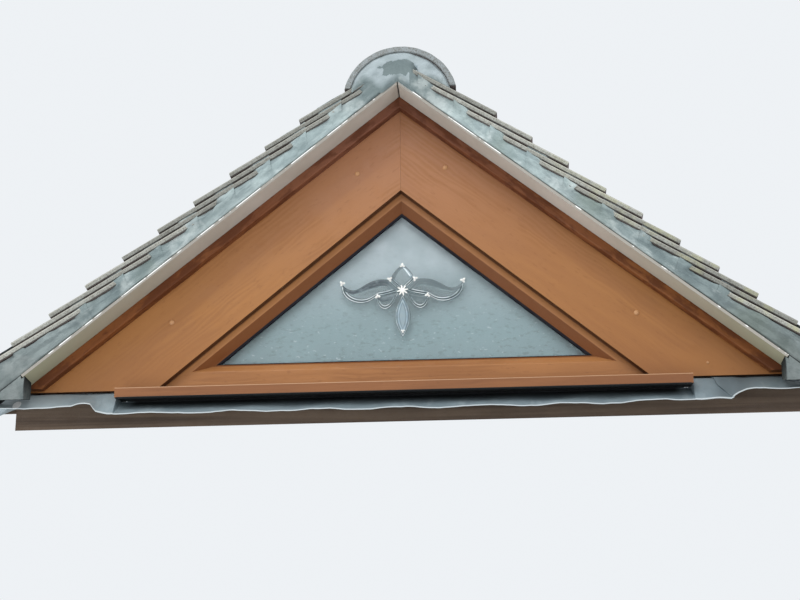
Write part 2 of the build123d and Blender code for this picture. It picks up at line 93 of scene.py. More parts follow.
def addLamps():
    for lamp in lamps:
        data = bpy.data.lights.new(lamp["name"], "AREA")
        data.energy, data.size = lamp["power"], lamp["size"]
        placed(lamp["name"], data, lamp["place"], lamp["aim"])


def addStudio():
    world = bpy.data.worlds.new("paleSky")
    world.use_nodes = True
    background = world.node_tree.nodes["Background"]
    background.inputs["Color"].default_value = (*studio["skyColour"], 1.0)
    background.inputs["Strength"].default_value = studio["skyStrength"]
    bpy.context.scene.world = world
    half, z = studio["floorSize"] / 2, cadBox[0][2] - studio["floorDrop"]
    mesh = bpy.data.meshes.new("studioFloor")
    corners = [(-half, -half, z), (half, -half, z), (half, half, z), (-half, half, z)]
    mesh.from_pydata(corners, [], [(0, 1, 2, 3)])
    floor = bpy.data.objects.new("studioFloor", mesh)
    bpy.context.scene.collection.objects.link(floor)
    material = bpy.data.materials.new("paleFloor")
    material.use_nodes = True
    shader = material.node_tree.nodes["Principled BSDF"]
    shader.inputs["Base Color"].default_value = (*studio["floorColour"], 1.0)
    shader.inputs["Roughness"].default_value = studio["floorRough"]
    mesh.materials.append(material)


addCamera()
addLamps()
addStudio()
bpy.context.scene.view_settings.view_transform = "Standard"
print("camera and light are set")


# Mesh helpers

def toRow(x, y, z):
    # toe points to the part's own frame, stacked as an array of points
    return np.stack(np.broadcast_arrays(x + toeX, y + toeY, z + toeZ), axis=-1)


def deckPoint(side, run, height):
    # run goes down the deck from its apex, height stands square to it
    return side * (run * slopeCos + height * slopeSin), deckApex - run * slopeSin + height * slopeCos


def onSlope(side, run, y, height):
    x, z = deckPoint(side, run, height)
    return toRow(x, y, z)


def waves(a, b, size, seed, count=7):
    # a smooth random height from -1 to 1: sine waves of unlike lengths and directions added up
    dice = np.random.default_rng(seed)
    total = np.zeros(np.broadcast(a, b).shape)
    for turn in range(count):
        angle = dice.uniform(0, 2 * pi)
        pace = 2 * pi / size * dice.uniform(0.6, 1.9)
        total = total + np.sin(pace * (a * np.cos(angle) + b * np.sin(angle)) + dice.uniform(0, 2 * pi))
    return total / sqrt(count) / 1.6


def uneven(a, b, height, size, seed):
    return height * waves(a, b, size, seed)


def smooth(value, low, high):
    # an S-curve from 0 at low to 1 at high: t squared times (3 - 2 t)
    t = np.clip((value - low) / (high - low), 0, 1)
    return t * t * (3 - 2 * t)


def fade(value, low, high):
    return 1 - smooth(value, low, high)


def sweep(rings):
    # a closed body from rings of points, an array (sections, points, 3): quads between neighbouring rings and
    # a face over each end
    sections, points = rings.shape[:2]
    index = np.arange(sections * points).reshape(sections, points)
    after = np.roll(index, -1, axis=1)
    quads = np.stack([index[:-1], after[:-1], after[1:], index[1:]], axis=-1).reshape(-1, 4)
    return rings.reshape(-1, 3), quads.tolist() + [index[0][::-1].tolist(), index[-1].tolist()]


def ends(grid):
    # the last and the first column, which close a face's rings at the back
    return np.concatenate([grid[:, -1:], grid[:, :1]], axis=1)


def padded(mark, rest=0.0):
    # a face's mark with the rest value for those two columns
    return np.concatenate([mark, np.full((len(mark), 2), rest)], axis=1).ravel()


def joined(parts):
    # several bodies as one list of points and faces
    points, faces, start = [], [], 0
    for verts, quads in parts:
        points.append(verts)
        faces += [[corner + start for corner in face] for face in quads]
        start += len(verts)
    return np.concatenate(points), faces


def turnedOut(mesh):
    # flips the whole mesh if its signed volume is negative
    mesh.calc_loop_triangles()
    corners = np.empty(len(mesh.vertices) * 3)
    mesh.vertices.foreach_get("co", corners)
    tris = np.empty(len(mesh.loop_triangles) * 3, dtype=np.int32)
    mesh.loop_triangles.foreach_get("vertices", tris)
    a, b, c = corners.reshape(-1, 3)[tris.reshape(-1, 3)].transpose(1, 0, 2)
    if np.einsum("ij,ij->i", a, np.cross(b, c)).sum() < 0:
        mesh.flip_normals()


def addPiece(name, body, material, stands=(), smoothAngle=35, marks=None):
    verts, faces = body
    mesh = bpy.data.meshes.new(name)
    mesh.from_pydata(verts.tolist(), [], faces)
    turnedOut(mesh)
    mesh.materials.append(material)
    piece = bpy.data.objects.new(name, mesh)
    bpy.context.scene.collection.objects.link(piece)
    mesh.polygons.foreach_set("use_smooth", np.ones(len(mesh.polygons), dtype=bool))
    mesh.set_sharp_from_angle(angle=radians(smoothAngle))
    for label, values in (marks or {}).items():
        layer = mesh.attributes.new(label, "FLOAT", "POINT")
        layer.data.foreach_set("value", np.asarray(values, dtype=np.float32))
    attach(piece, "root")
    if stands:
        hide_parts(*stands)


# Node helpers

def makeNode(tree, kind, values=None, **settings):
    # each value is a socket to link or a setting; a colour is three numbers
    node = tree.nodes.new(kind)
    for label, value in settings.items():
        setattr(node, label, value)
    for label, value in (values or {}).items():
        socket = node.inputs[label]
        if isinstance(value, bpy.types.NodeSocket):
            tree.links.new(value, socket)
        else:
            socket.default_value = (*value, 1.0) if socket.type == "RGBA" else value
    return node


def coat(tree, colour, *layers):
    # colours laid over each other, each with its mask
    for mask, shade in layers:
        mix = makeNode(tree, "ShaderNodeMix", {0: mask, 6: colour, 7: shade}, data_type="RGBA")
        colour = mix.outputs[2]
    return colour


def number(tree, kind, first, second=0.5, clamp=False):
    return makeNode(tree, "ShaderNodeMath", {0: first, 1: second}, operation=kind, use_clamp=clamp).outputs[0]


def times(tree, first, *others):
    for other in others:
        first = number(tree, "MULTIPLY", first, other)
    return first


def highest(tree, first, *others):
    for other in others:
        first = number(tree, "MAXIMUM", first, other)
    return first


def ranged(tree, value, low, high, start=0.0, end=1.0):
    values = {"Value": value, "From Min": low, "From Max": high, "To Min": start, "To Max": end}
    return makeNode(tree, "ShaderNodeMapRange", values, interpolation_type="SMOOTHSTEP").outputs[0]


def noise(tree, vector, scale, detail=3.0, rough=0.55, twist=0.0):
    values = {"Vector": vector, "Scale": scale, "Detail": detail, "Roughness": rough, "Distortion": twist}
    return makeNode(tree, "ShaderNodeTexNoise", values).outputs[0]


def stretched(tree, vector, turn=(0, 0, 0), scale=(1, 1, 1), shift=(0, 0, 0)):
    values = {"Vector": vector, "Location": shift, "Rotation": turn, "Scale": scale}
    return makeNode(tree, "ShaderNodeMapping", values).outputs[0]


def axes(tree, vector):
    return makeNode(tree, "ShaderNodeSeparateXYZ", {0: vector}).outputs


def marked(tree, label):
    return makeNode(tree, "ShaderNodeAttribute", attribute_name=label).outputs["Fac"]


def lightened(tree, colour, value):
    return makeNode(tree, "ShaderNodeHueSaturation", {"Color": colour, "Value": value}).outputs[0]


def newMaterial(name, look):
    # the look's "shader" holds the constants for the shader's own sockets
    material = bpy.data.materials.new(name)
    material.use_nodes = True
    tree = material.node_tree
    for label, value in look.get("shader", {}).items():
        tree.nodes["Principled BSDF"].inputs[label].default_value = value
    return material, tree, tree.nodes.new("ShaderNodeTexCoord").outputs["Object"]


def painted(material, look, colour, wear, height=None, alpha=None):
    # the look's roughness runs between its two values with the wear; its bump is a strength and a distance
    tree = material.node_tree
    rough = ranged(tree, wear, *look.get("spread", (0, 1)), *look["rough"])
    inputs = {"Base Color": colour, "Roughness": rough}
    if height:
        bump = dict(zip(("Height", "Strength", "Distance"), (height, *look["bump"])))
        inputs["Normal"] = makeNode(tree, "ShaderNodeBump", bump).outputs[0]
    if alpha:
        inputs["Alpha"] = alpha
    for label, value in inputs.items():
        tree.links.new(value, tree.nodes["Principled BSDF"].inputs[label])
    return material


# Shared effects

def sharedEffect(name, build, takes=None):
    # a node group that takes a vector and the numbers named, and gives the masks that its function builds
    group = bpy.data.node_groups.new(name, "ShaderNodeTree")
    group.interface.new_socket(name="Vector", in_out="INPUT", socket_type="NodeSocketVector")
    for label, value in (takes or {}).items():
        socket = group.interface.new_socket(name=label, in_out="INPUT", socket_type="NodeSocketFloat")
        socket.default_value = value
    masks = build(group, group.nodes.new("NodeGroupInput").outputs)
    for label in masks:
        group.interface.new_socket(name=label, in_out="OUTPUT", socket_type="NodeSocketFloat")
    leave = group.nodes.new("NodeGroupOutput").inputs
    for label, value in masks.items():
        group.links.new(value, leave[label])
    return group


def oakLines(group, enter):
    # printed oak, drawn out along local X: broad soft streaks, faint arched figure, fine pores, dark flecks
    broad = noise(group, stretched(group, enter["Vector"], scale=(1.1, 9, 9)), 1.6, 4.0, 0.55, 0.8)
    arched = stretched(group, enter["Vector"], scale=(2.2, 11, 11))
    rings = {"Vector": arched, "Scale": 2.6, "Distortion": 11.0, "Detail": 2.5, "Detail Scale": 1.1}
    bands = makeNode(group, "ShaderNodeTexWave", rings, bands_direction="Z").outputs["Fac"]
    where = noise(group, stretched(group, enter["Vector"], scale=(3.0, 8, 8)), 1.3, 2.0)
    pores = noise(group, stretched(group, enter["Vector"], scale=(30, 420, 420)), 1.0, 2.0, 0.5)
    fleck = noise(group, stretched(group, enter["Vector"], scale=(60, 210, 210)), 1.0, 1.5, 0.5)
    figure = times(group, bands, ranged(group, where, 0.46, 0.60))
    return {"Streak": ranged(group, broad, 0.30, 0.70), "Figure": figure,
            "Fleck": ranged(group, fleck, 0.60, 0.76), "Height": ranged(group, pores, 0.38, 0.60)}


def weatherMarks(group, enter):
    # cloudy weathering in two sizes and a fine grit
    cloud = noise(group, enter["Vector"], enter["Scale"], 5.0, 0.6, 0.4)
    patch = noise(group, enter["Vector"], times(group, enter["Scale"], 5.5), 4.0, 0.62, 0.3)
    grit = noise(group, enter["Vector"], times(group, enter["Scale"], 60.0), 2.0, 0.6)
    return {"Cloud": ranged(group, cloud, 0.32, 0.68), "Patch": ranged(group, patch, 0.36, 0.66),
            "Grit": ranged(group, grit, 0.30, 0.72)}


oakGrain = sharedEffect("oakGrain", oakLines)
weathering = sharedEffect("weathering", weatherMarks, {"Scale": 8.0})


def grouped(tree, group, values):
    return makeNode(tree, "ShaderNodeGroup", values, node_tree=group).outputs


def weathered(tree, place, scale):
    return grouped(tree, weathering, {"Vector": place, "Scale": scale})


# Woodgrain foil on boards, trims, frame and sill

foil = dict(board=dict(dark=(0.290, 0.118, 0.036), light=(0.390, 0.168, 0.048), top=(0.350, 0.156, 0.088),
                       fleck=(0.170, 0.062, 0.018), mottle=0.12, wear=3.0,
                       shader={"Specular IOR Level": 0.38}),
            trim=dict(dark=(0.160, 0.050, 0.016), light=(0.262, 0.098, 0.031), top=(0.162, 0.068, 0.052),
                      fleck=(0.092, 0.028, 0.012), mottle=0.20, wear=9.0,
                      shader={"Specular IOR Level": 0.15}),
            frame=dict(dark=(0.280, 0.112, 0.034), light=(0.400, 0.172, 0.056), top=(0.330, 0.140, 0.060),
                       fleck=(0.130, 0.044, 0.015), mottle=0.12, wear=9.0,
                       shader={"Specular IOR Level": 0.38}),
            sill=dict(dark=(0.182, 0.066, 0.021), light=(0.255, 0.099, 0.033), top=(0.255, 0.099, 0.033),
                      fleck=(0.130, 0.044, 0.015), mottle=0.15, wear=9.0,
                      shader={"Specular IOR Level": 0.40}))
foilPrint = dict(streak=0.8, figure=0.60, fleck=0.22, topShade=(0.20, 0.66, 0, 0.7), rough=(0.40, 0.56),
                 bump=(0.18, 0.0004))
trimMottle = dict(scale=(15, 42, 42), share=(0.43, 0.57, 0, 0.70))
turnedDown = dict(board=(-0.34, -0.12, 0.9, 0), frame=(-0.42, -0.20, 0.80, 0), sill=(-0.75, -0.45, 1, 0))
edgeShade = dict(board=(0.060, 0.021, 0.008), frame=(0.145, 0.040, 0.007), groove=(0.070, 0.025, 0.010))
boardFoot = dict(colour=(0.270, 0.104, 0.028), share=(0.04, 0.26, 0.55, 0))
window = dict(apex=0.5554, foot=0.075, lap=0.03940, grooveWidth=0.0035)
sillLook = dict(arrisHighlight=(0.560, 0.340, 0.200), arrisBand=0.0024, noseTop=0.0705, noseFront=(-0.0640, -0.0625),
                underside=(0.024, 0.025, 0.026))


def insetFrom(tree, place):
    # how far a point lies in from the raking outer edge of the window's frame
    x, y, z = axes(tree, place)
    down = number(tree, "SUBTRACT", toeZ + window["apex"], z)
    fall = times(tree, number(tree, "ABSOLUTE", x), windowTan)
    return times(tree, number(tree, "SUBTRACT", down, fall), windowCos)


def foilMaterial(kind, label, turn, shift):
    look = foil[kind]
    material, tree, place = newMaterial(kind + label + "Foil", look)
    moved = stretched(tree, place, turn=(0, turn, 0), shift=(shift, shift * 1.7, shift))
    grain, worn = grouped(tree, oakGrain, {"Vector": moved}), weathered(tree, place, look["wear"])
    x, y, z = axes(tree, place)
    lean = axes(tree, makeNode(tree, "ShaderNodeNewGeometry").outputs["Normal"])["Z"]
    # the look's top colour is painted shade, laid on towards the top; the sill's equals its light colour
    colour = coat(tree, look["light"], (times(tree, grain["Streak"], foilPrint["streak"]), look["dark"]),
                  (ranged(tree, z, *foilPrint["topShade"]), look["top"]),
                  (times(tree, grain["Figure"], foilPrint["figure"]), look["dark"]),
                  (times(tree, worn["Cloud"], look["mottle"]), look["dark"]),
                  (times(tree, grain["Fleck"], foilPrint["fleck"]), look["fleck"]))
    if kind == "board":
        # duller towards the foot, and painted shade where an edge turns down
        colour = coat(tree, colour, (ranged(tree, z, *boardFoot["share"]), boardFoot["colour"]),
                      (ranged(tree, lean, *turnedDown["board"]), edgeShade["board"]))
    if kind == "trim":
        mottle = noise(tree, stretched(tree, moved, scale=trimMottle["scale"]), 1.0, 4.0, 0.6, 0.3)
        colour = coat(tree, colour, (ranged(tree, mottle, *trimMottle["share"]), look["fleck"]))
    if kind == "frame":
        # painted shade on the raking rails' bevels, which look down, and painted shade in the corner under
        # the boards
        corner = window["lap"] * windowCos
        cornerShade = ranged(tree, insetFrom(tree, place), corner, corner + window["grooveWidth"], 0.85, 0)
        colour = coat(tree, colour, (ranged(tree, lean, *turnedDown["frame"]), edgeShade["frame"]),
                      (cornerShade, edgeShade["groove"]))
    if kind == "sill":
        # a painted highlight along the nose's top edge, and painted shade on the side turned down
        noseTop, band = toeZ + sillLook["noseTop"], sillLook["arrisBand"]
        arrisHighlight = times(tree, ranged(tree, z, noseTop - band, noseTop - band * 0.4, 0, 0.75),
                      ranged(tree, y, *(toeY + front for front in sillLook["noseFront"]), 1, 0))
        colour = coat(tree, colour, (arrisHighlight, sillLook["arrisHighlight"]),
                      (ranged(tree, lean, *turnedDown["sill"]), sillLook["underside"]))
    return painted(material, foilPrint, colour, worn["Patch"], grain["Height"])


foils = {("frame", "bottom"): foilMaterial("frame", "Bottom", 0.0, 2.3),
         ("sill", "bottom"): foilMaterial("sill", "Bottom", 0.0, 3.1)}
for kind, pitch in (("board", roof["pitch"]), ("trim", roof["pitch"]), ("frame", roof["windowPitch"])):
    for index, (label, side) in enumerate(sides):
        foils[kind, label] = foilMaterial(kind, label.capitalize(), -side * pitch, 0.37 + index * 1.9)
print("woodgrain foils are made")


# Other materials

clay = dict(top=(0.175, 0.130, 0.122), dark=(0.110, 0.080, 0.076), edge=(0.350, 0.356, 0.322),
            ridge=(0.350, 0.385, 0.395), pit=(0.185, 0.178, 0.152), arrisHighlight=(0.560, 0.545, 0.480),
            lichen=(0.460, 0.455, 0.270), paintedShade=(0.045, 0.042, 0.040), tones=(0.80, 1.20), wear=14.0,
            rough=(0.78, 0.95), bump=(0.55, 0.0012), mossFrom=(0.20, 0.60),
            shader={"Specular IOR Level": 0.25})
cement = dict(pale=(0.370, 0.435, 0.430), mid=(0.175, 0.220, 0.222), dark=(0.070, 0.092, 0.102),
              green=(0.150, 0.185, 0.150), stain=(0.190, 0.245, 0.270), fresh=(0.520, 0.590, 0.620),
              light=(0.480, 0.530, 0.520), damp=(0.010, 0.012, 0.012), wear=6.5, rough=(0.80, 0.95),
              bump=(0.45, 0.0015),
              toneByHeight=[(0.02, 0.30, 0.50, 1.20), (0.36, 0.56, 1.0, 1.40), (0.60, 0.68, 1.0, 0.62)],
              shader={"Specular IOR Level": 0.25})
sheetLead = dict(pale=(0.285, 0.355, 0.385), mid=(0.190, 0.245, 0.272), dark=(0.105, 0.135, 0.150),
                 bloomAndLight=(0.420, 0.490, 0.520), edge=(0.700, 0.760, 0.780), spot=(0.95, 0.96, 0.96),
                 paintedShade=(0.020, 0.023, 0.026), spotPlace=(-0.808, -0.058, 0.041), spotReach=(0.0078, 0.0092),
                 leftPaintedLight=(-0.78, -0.66, 0.85, 0), lapFrom=(0.63, 0.665, 0, 0.88),
                 lapTo=(0.69, 0.74, 1, 0.3), wear=5.0, rough=(0.46, 0.64), bump=(0.22, 0.0012),
                 shader={"Specular IOR Level": 0.5, "Metallic": 0.25})
board = dict(pale=(0.600, 0.565, 0.510), dark=(0.500, 0.465, 0.405), face=(0.330, 0.310, 0.275),
             streak=(0.960, 0.960, 0.940), foot=(0.330, 0.315, 0.190), wear=4.0, rough=(0.7, 0.85),
             bump=(0.15, 0.0005), frontEdge=(0.0002, 0.0006), streakUp=(-0.0024, -0.0016),
             footSpan=(0.0, 0.45, 0.85, 0), sunny=(0, 0.3, 1, 1.10), shader={"Specular IOR Level": 0.3})
sawn = dict(wear=7.0, rough=(0.6, 0.8), bump=(0.3, 0.0006), shader={"Specular IOR Level": 0.3})
pine = dict(sawn, pale=(0.500, 0.350, 0.190), dark=(0.300, 0.180, 0.085))
treated = dict(sawn, pale=(0.170, 0.120, 0.085), dark=(0.085, 0.058, 0.042))
membrane = dict(warp=(0.20, 0.21, 0.23), weft=(0.27, 0.28, 0.30), cloud=(0.14, 0.14, 0.15), weave=350.0,
                wear=5.0, rough=(0.6, 0.8), bump=(0.3, 0.0003), shader={"Specular IOR Level": 0.3})
aluminium = dict(pale=(0.50, 0.51, 0.52), dark=(0.42, 0.43, 0.45), wear=12.0, rough=(0.3, 0.42),
                 bump=(0.1, 0.0004), shader={"Metallic": 1.0})
clear = dict(pale=(0.96, 0.98, 0.985), green=(0.92, 0.955, 0.965), spread=(0.3, 0.7), rough=(0.01, 0.03),
             bump=(0.03, 0.0005), shader={"Transmission Weight": 1.0, "IOR": 1.5, "Metallic": 0.0})
obscured = dict(low=(0.420, 0.570, 0.590), high=(0.870, 0.945, 0.980), cloud=(0.385, 0.505, 0.520),
                dark=(0.260, 0.360, 0.370), bright=(0.85, 0.92, 0.92), spread=(0.3, 0.7), rough=(0.30, 0.45),
                bump=(0.22, 0.0008), rim=(0.060, 0.084, 0.55, 0), rimUp=(0.28, 0.42, 1, 0.35),
                fleckUp=(0.10, 0.36, 1.0, 0.12), paleUp=(0.17, 0.40), shader={"Specular IOR Level": 0.5})
crystal = dict(table=(0.480, 0.570, 0.590), upper=(0.130, 0.168, 0.178), shaded=(0.050, 0.068, 0.080),
               lower=(0.290, 0.365, 0.385), line=(0.035, 0.048, 0.054), bright=(0.960, 1.000, 1.000),
               sky=(0.400, 0.540, 0.640), glint=(1.0, 1.0, 0.96), spread=(0.3, 0.7), rough=(0.12, 0.25),
               rim=(0.04, 0.14, 0.9, 0), solid=(0.80, 1.0, 0.92, 0.14), flat=(0.78, 1.0),
               left=(-0.055, -0.005, 1, 0), strong=(0.0, 1.0, 0.10, 1.0),
               shader={"IOR": 1.52, "Metallic": 0.0, "Specular IOR Level": 0.12},
               darkBands=[(0.26, 0.34, 0.48, 0.58, 0.9), (0.76, 0.82, 0.88, 0.98, 0.6)],
               brightBands=[(0.12, 0.18, 0.22, 0.30, 1.0), (0.56, 0.64, 0.68, 0.78, 0.9)])


def clayMaterial(name, endShade):
    # "tone" is each tile's own shade; "verge" rises from 0.3 to 1 up the end that faces out of the verge
    material, tree, place = newMaterial(name, clay)
    tone, verge, worn = marked(tree, "tone"), marked(tree, "verge"), weathered(tree, place, clay["wear"])
    speck = noise(tree, place, 320.0, 2.0, 0.6)
    right = ranged(tree, axes(tree, place)["X"], *clay["mossFrom"])
    mossy = times(tree, right, ranged(tree, noise(tree, place, 26.0, 3.0), 0.42, 0.62, 0, 0.5))
    # on the tile ends: a painted highlight along the top edge, and a painted shadow line along the lowest
    # part
    end = coat(tree, endShade, (times(tree, worn["Patch"], 0.40), clay["pit"]),
               (ranged(tree, speck, 0.50, 0.64, 0, 0.80), clay["pit"]),
               (ranged(tree, verge, 0.80, 0.97, 0, 0.65), clay["arrisHighlight"]), (mossy, clay["lichen"]),
               (ranged(tree, verge, 0.32, 0.45, 0.8, 0.0), clay["paintedShade"]))
    colour = coat(tree, clay["top"], (times(tree, worn["Cloud"], 0.7), clay["dark"]),
                  (times(tree, worn["Grit"], 0.14), clay["edge"]), (ranged(tree, verge, 0.04, 0.25), end))
    height = number(tree, "ADD", worn["Grit"], times(tree, worn["Patch"], 1.5))
    colour = lightened(tree, colour, ranged(tree, tone, 0, 1, *clay["tones"]))
    return painted(material, clay, colour, worn["Patch"], height)


def mortarMaterial():
    # "stain" marks a darker patch and "fresh" the pale mortar of the ridge end; the third mark is painted
    # shade, near black where the mortar lies in deep shade; the blotches and the trowel's marks are drawn
    # out along the slope
    material, tree, place = newMaterial("weatheredMortar", cement)
    x, y, z = axes(tree, place)
    out = number(tree, "ABSOLUTE", x)
    run = number(tree, "SUBTRACT", times(tree, out, slopeCos), times(tree, z, slopeSin))
    rise = number(tree, "ADD", times(tree, out, slopeSin), times(tree, z, slopeCos))
    along = makeNode(tree, "ShaderNodeCombineXYZ", {0: run, 1: y, 2: rise}).outputs[0]
    worn = weathered(tree, stretched(tree, along, scale=(0.6, 1, 1.5)), cement["wear"])
    trowel = noise(tree, stretched(tree, along, scale=(10, 22, 48)), 1.0, 4.0, 0.65, 0.4)
    plain = ranged(tree, out, 0.03, 0.12)
    colour = coat(tree, cement["pale"], (worn["Cloud"], cement["mid"]),
                  (times(tree, ranged(tree, trowel, 0.54, 0.66, 0, 0.55), plain), cement["light"]),
                  (times(tree, ranged(tree, trowel, 0.36, 0.46, 0.35, 0), plain), cement["dark"]),
                  (times(tree, worn["Patch"], 0.32), cement["dark"]),
                  (ranged(tree, noise(tree, place, 4.2, 3.0), 0.54, 0.70, 0, 0.55), cement["green"]),
                  (ranged(tree, noise(tree, place, 11.0, 4.0, 0.6), 0.54, 0.68, 0, 0.6), cement["light"]))
    # lightness set by height: palest below the ridge, and darker towards the foot
    toneByHeight = times(tree, *(ranged(tree, z, *span) for span in cement["toneByHeight"]))
    colour = coat(tree, lightened(tree, colour, toneByHeight),
                  (times(tree, marked(tree, "fresh"), 0.7), cement["fresh"]),
                  (times(tree, marked(tree, "stain"), 0.85), cement["stain"]),
                  (marked(tree, "damp"), cement["damp"]))
    height = number(tree, "ADD", worn["Grit"], times(tree, worn["Patch"], 2.0))
    return painted(material, cement, colour, worn["Patch"], height)


def leadMaterial():
    # "edge" is 1 along the cut edge, and the second mark is painted shade that darkens what lies under the
    # sill; one pale spot lies on the left sheet, the far left end is lightened as painted light, and the
    # sheet beyond the lap at the right is darker
    material, tree, place = newMaterial("weatheredLead", sheetLead)
    worn = weathered(tree, place, sheetLead["wear"])
    streak = noise(tree, stretched(tree, place, scale=(22, 7, 7)), 1.0, 4.0, 0.6)
    squeeze = np.array([1.0, 0.5, 0.5])
    here, spot = stretched(tree, place, scale=squeeze.tolist()), toRow(*sheetLead["spotPlace"]) * squeeze
    away = makeNode(tree, "ShaderNodeVectorMath", {0: here, 1: spot.tolist()}, operation="DISTANCE")
    across = axes(tree, place)["X"]
    lapped = times(tree, *(ranged(tree, across, *sheetLead[span]) for span in ("lapFrom", "lapTo")))
    colour = coat(tree, sheetLead["pale"], (worn["Cloud"], sheetLead["mid"]),
                  (times(tree, worn["Patch"], 0.22), sheetLead["dark"]),
                  (ranged(tree, streak, 0.52, 0.74, 0, 0.35), sheetLead["bloomAndLight"]),
                  (ranged(tree, across, *sheetLead["leftPaintedLight"]), sheetLead["bloomAndLight"]),
                  (ranged(tree, away.outputs["Value"], *sheetLead["spotReach"], 1, 0), sheetLead["spot"]),
                  (lapped, sheetLead["dark"]), (times(tree, marked(tree, "edge"), 0.8), sheetLead["edge"]),
                  (marked(tree, "paintedShade"), sheetLead["paintedShade"]))
    return painted(material, sheetLead, colour, worn["Cloud"], worn["Patch"])


def undercloakMaterial():
    # broken white streaks lie along the upper half of the front edge, partly efflorescence and partly
    # a painted highlight; "up" is the height square to the slope; the right-hand side is lightened as
    # painted light
    material, tree, place = newMaterial("fibreCement", board)
    worn = weathered(tree, place, board["wear"])
    x, y, z = axes(tree, place)
    face = toeY + roof["vergeFront"]
    front = ranged(tree, y, *(face + step for step in board["frontEdge"]), 1, 0)
    up = number(tree, "ADD", times(tree, number(tree, "SUBTRACT", z, toeZ + deckApex), slopeCos),
                times(tree, number(tree, "ABSOLUTE", x), slopeSin))
    breaks = ranged(tree, noise(tree, place, 14.0, 4.0, 0.65), 0.50, 0.55)
    colour = coat(tree, board["pale"], (worn["Cloud"], board["dark"]),
                  (times(tree, worn["Patch"], 0.12), board["dark"]),
                  (ranged(tree, z, *board["footSpan"]), board["foot"]), (front, board["face"]),
                  (times(tree, front, ranged(tree, up, *board["streakUp"]), breaks), board["streak"]))
    colour = lightened(tree, colour, ranged(tree, x, *board["sunny"]))
    return painted(material, board, colour, worn["Patch"], worn["Grit"])


def timberMaterial(name, look):
    # sawn softwood: growth rings cut lengthways along X for plates and battens, with saw marks in the bump
    material, tree, place = newMaterial(name, look)
    rings = noise(tree, stretched(tree, place, scale=(1.4, 60, 60)), 1.0, 4.0, 0.6, 0.5)
    worn = weathered(tree, place, look["wear"])
    colour = coat(tree, look["pale"], (ranged(tree, rings, 0.34, 0.66), look["dark"]),
                  (times(tree, worn["Cloud"], 0.35), look["dark"]))
    return painted(material, look, colour, worn["Patch"], number(tree, "ADD", rings, worn["Grit"]))


def membraneMaterial():
    material, tree, place = newMaterial("wovenMembrane", membrane)
    threads = {"Vector": place, "Scale": membrane["weave"],
               "Color1": membrane["warp"], "Color2": membrane["weft"]}
    weave = makeNode(tree, "ShaderNodeTexChecker", threads).outputs
    worn = weathered(tree, place, membrane["wear"])
    colour = coat(tree, weave["Color"], (times(tree, worn["Cloud"], 0.5), membrane["cloud"]))
    return painted(material, membrane, colour, worn["Patch"], weave["Fac"])


def clearPaneMaterial():
    material, tree, place = newMaterial("clearPane", clear)
    colour = coat(tree, clear["pale"], (noise(tree, place, 3.0), clear["green"]))
    return painted(material, clear, colour, noise(tree, place, 20.0), noise(tree, place, 60.0, 2.0))


def obscuredPaneMaterial():
    # patterned glass: paler towards the top, with painted shade beside the frame, slanting dark flecks and a
    # few bright ones low down
    material, tree, place = newMaterial("obscuredPane", obscured)
    up = axes(tree, place)["Z"]
    cloud = noise(tree, place, 9.0, 4.0)
    # painted shade beside the frame, less of it towards the top
    rim = times(tree, ranged(tree, insetFrom(tree, place), *obscured["rim"]),
                ranged(tree, up, *obscured["rimUp"]))
    low = ranged(tree, up, *obscured["fleckUp"])
    slant = stretched(tree, place, turn=(0, 0.7, 0), scale=(85, 85, 190))
    dark = times(tree, ranged(tree, noise(tree, slant, 1.0, 2.0, 0.5), 0.55, 0.70, 0, 0.60), low)
    other = stretched(tree, place, turn=(0, -0.5, 0), scale=(130, 130, 240))
    bright = times(tree, ranged(tree, noise(tree, other, 1.0, 1.0), 0.68, 0.76, 0, 0.7), low)
    colour = coat(tree, obscured["low"], (ranged(tree, up, *obscured["paleUp"]), obscured["high"]),
                  (ranged(tree, cloud, 0.35, 0.7, 0, 0.45), obscured["cloud"]), (rim, obscured["dark"]),
                  (dark, obscured["dark"]), (bright, obscured["bright"]))
    return painted(material, obscured, colour, cloud, noise(tree, place, 150.0, 2.0))


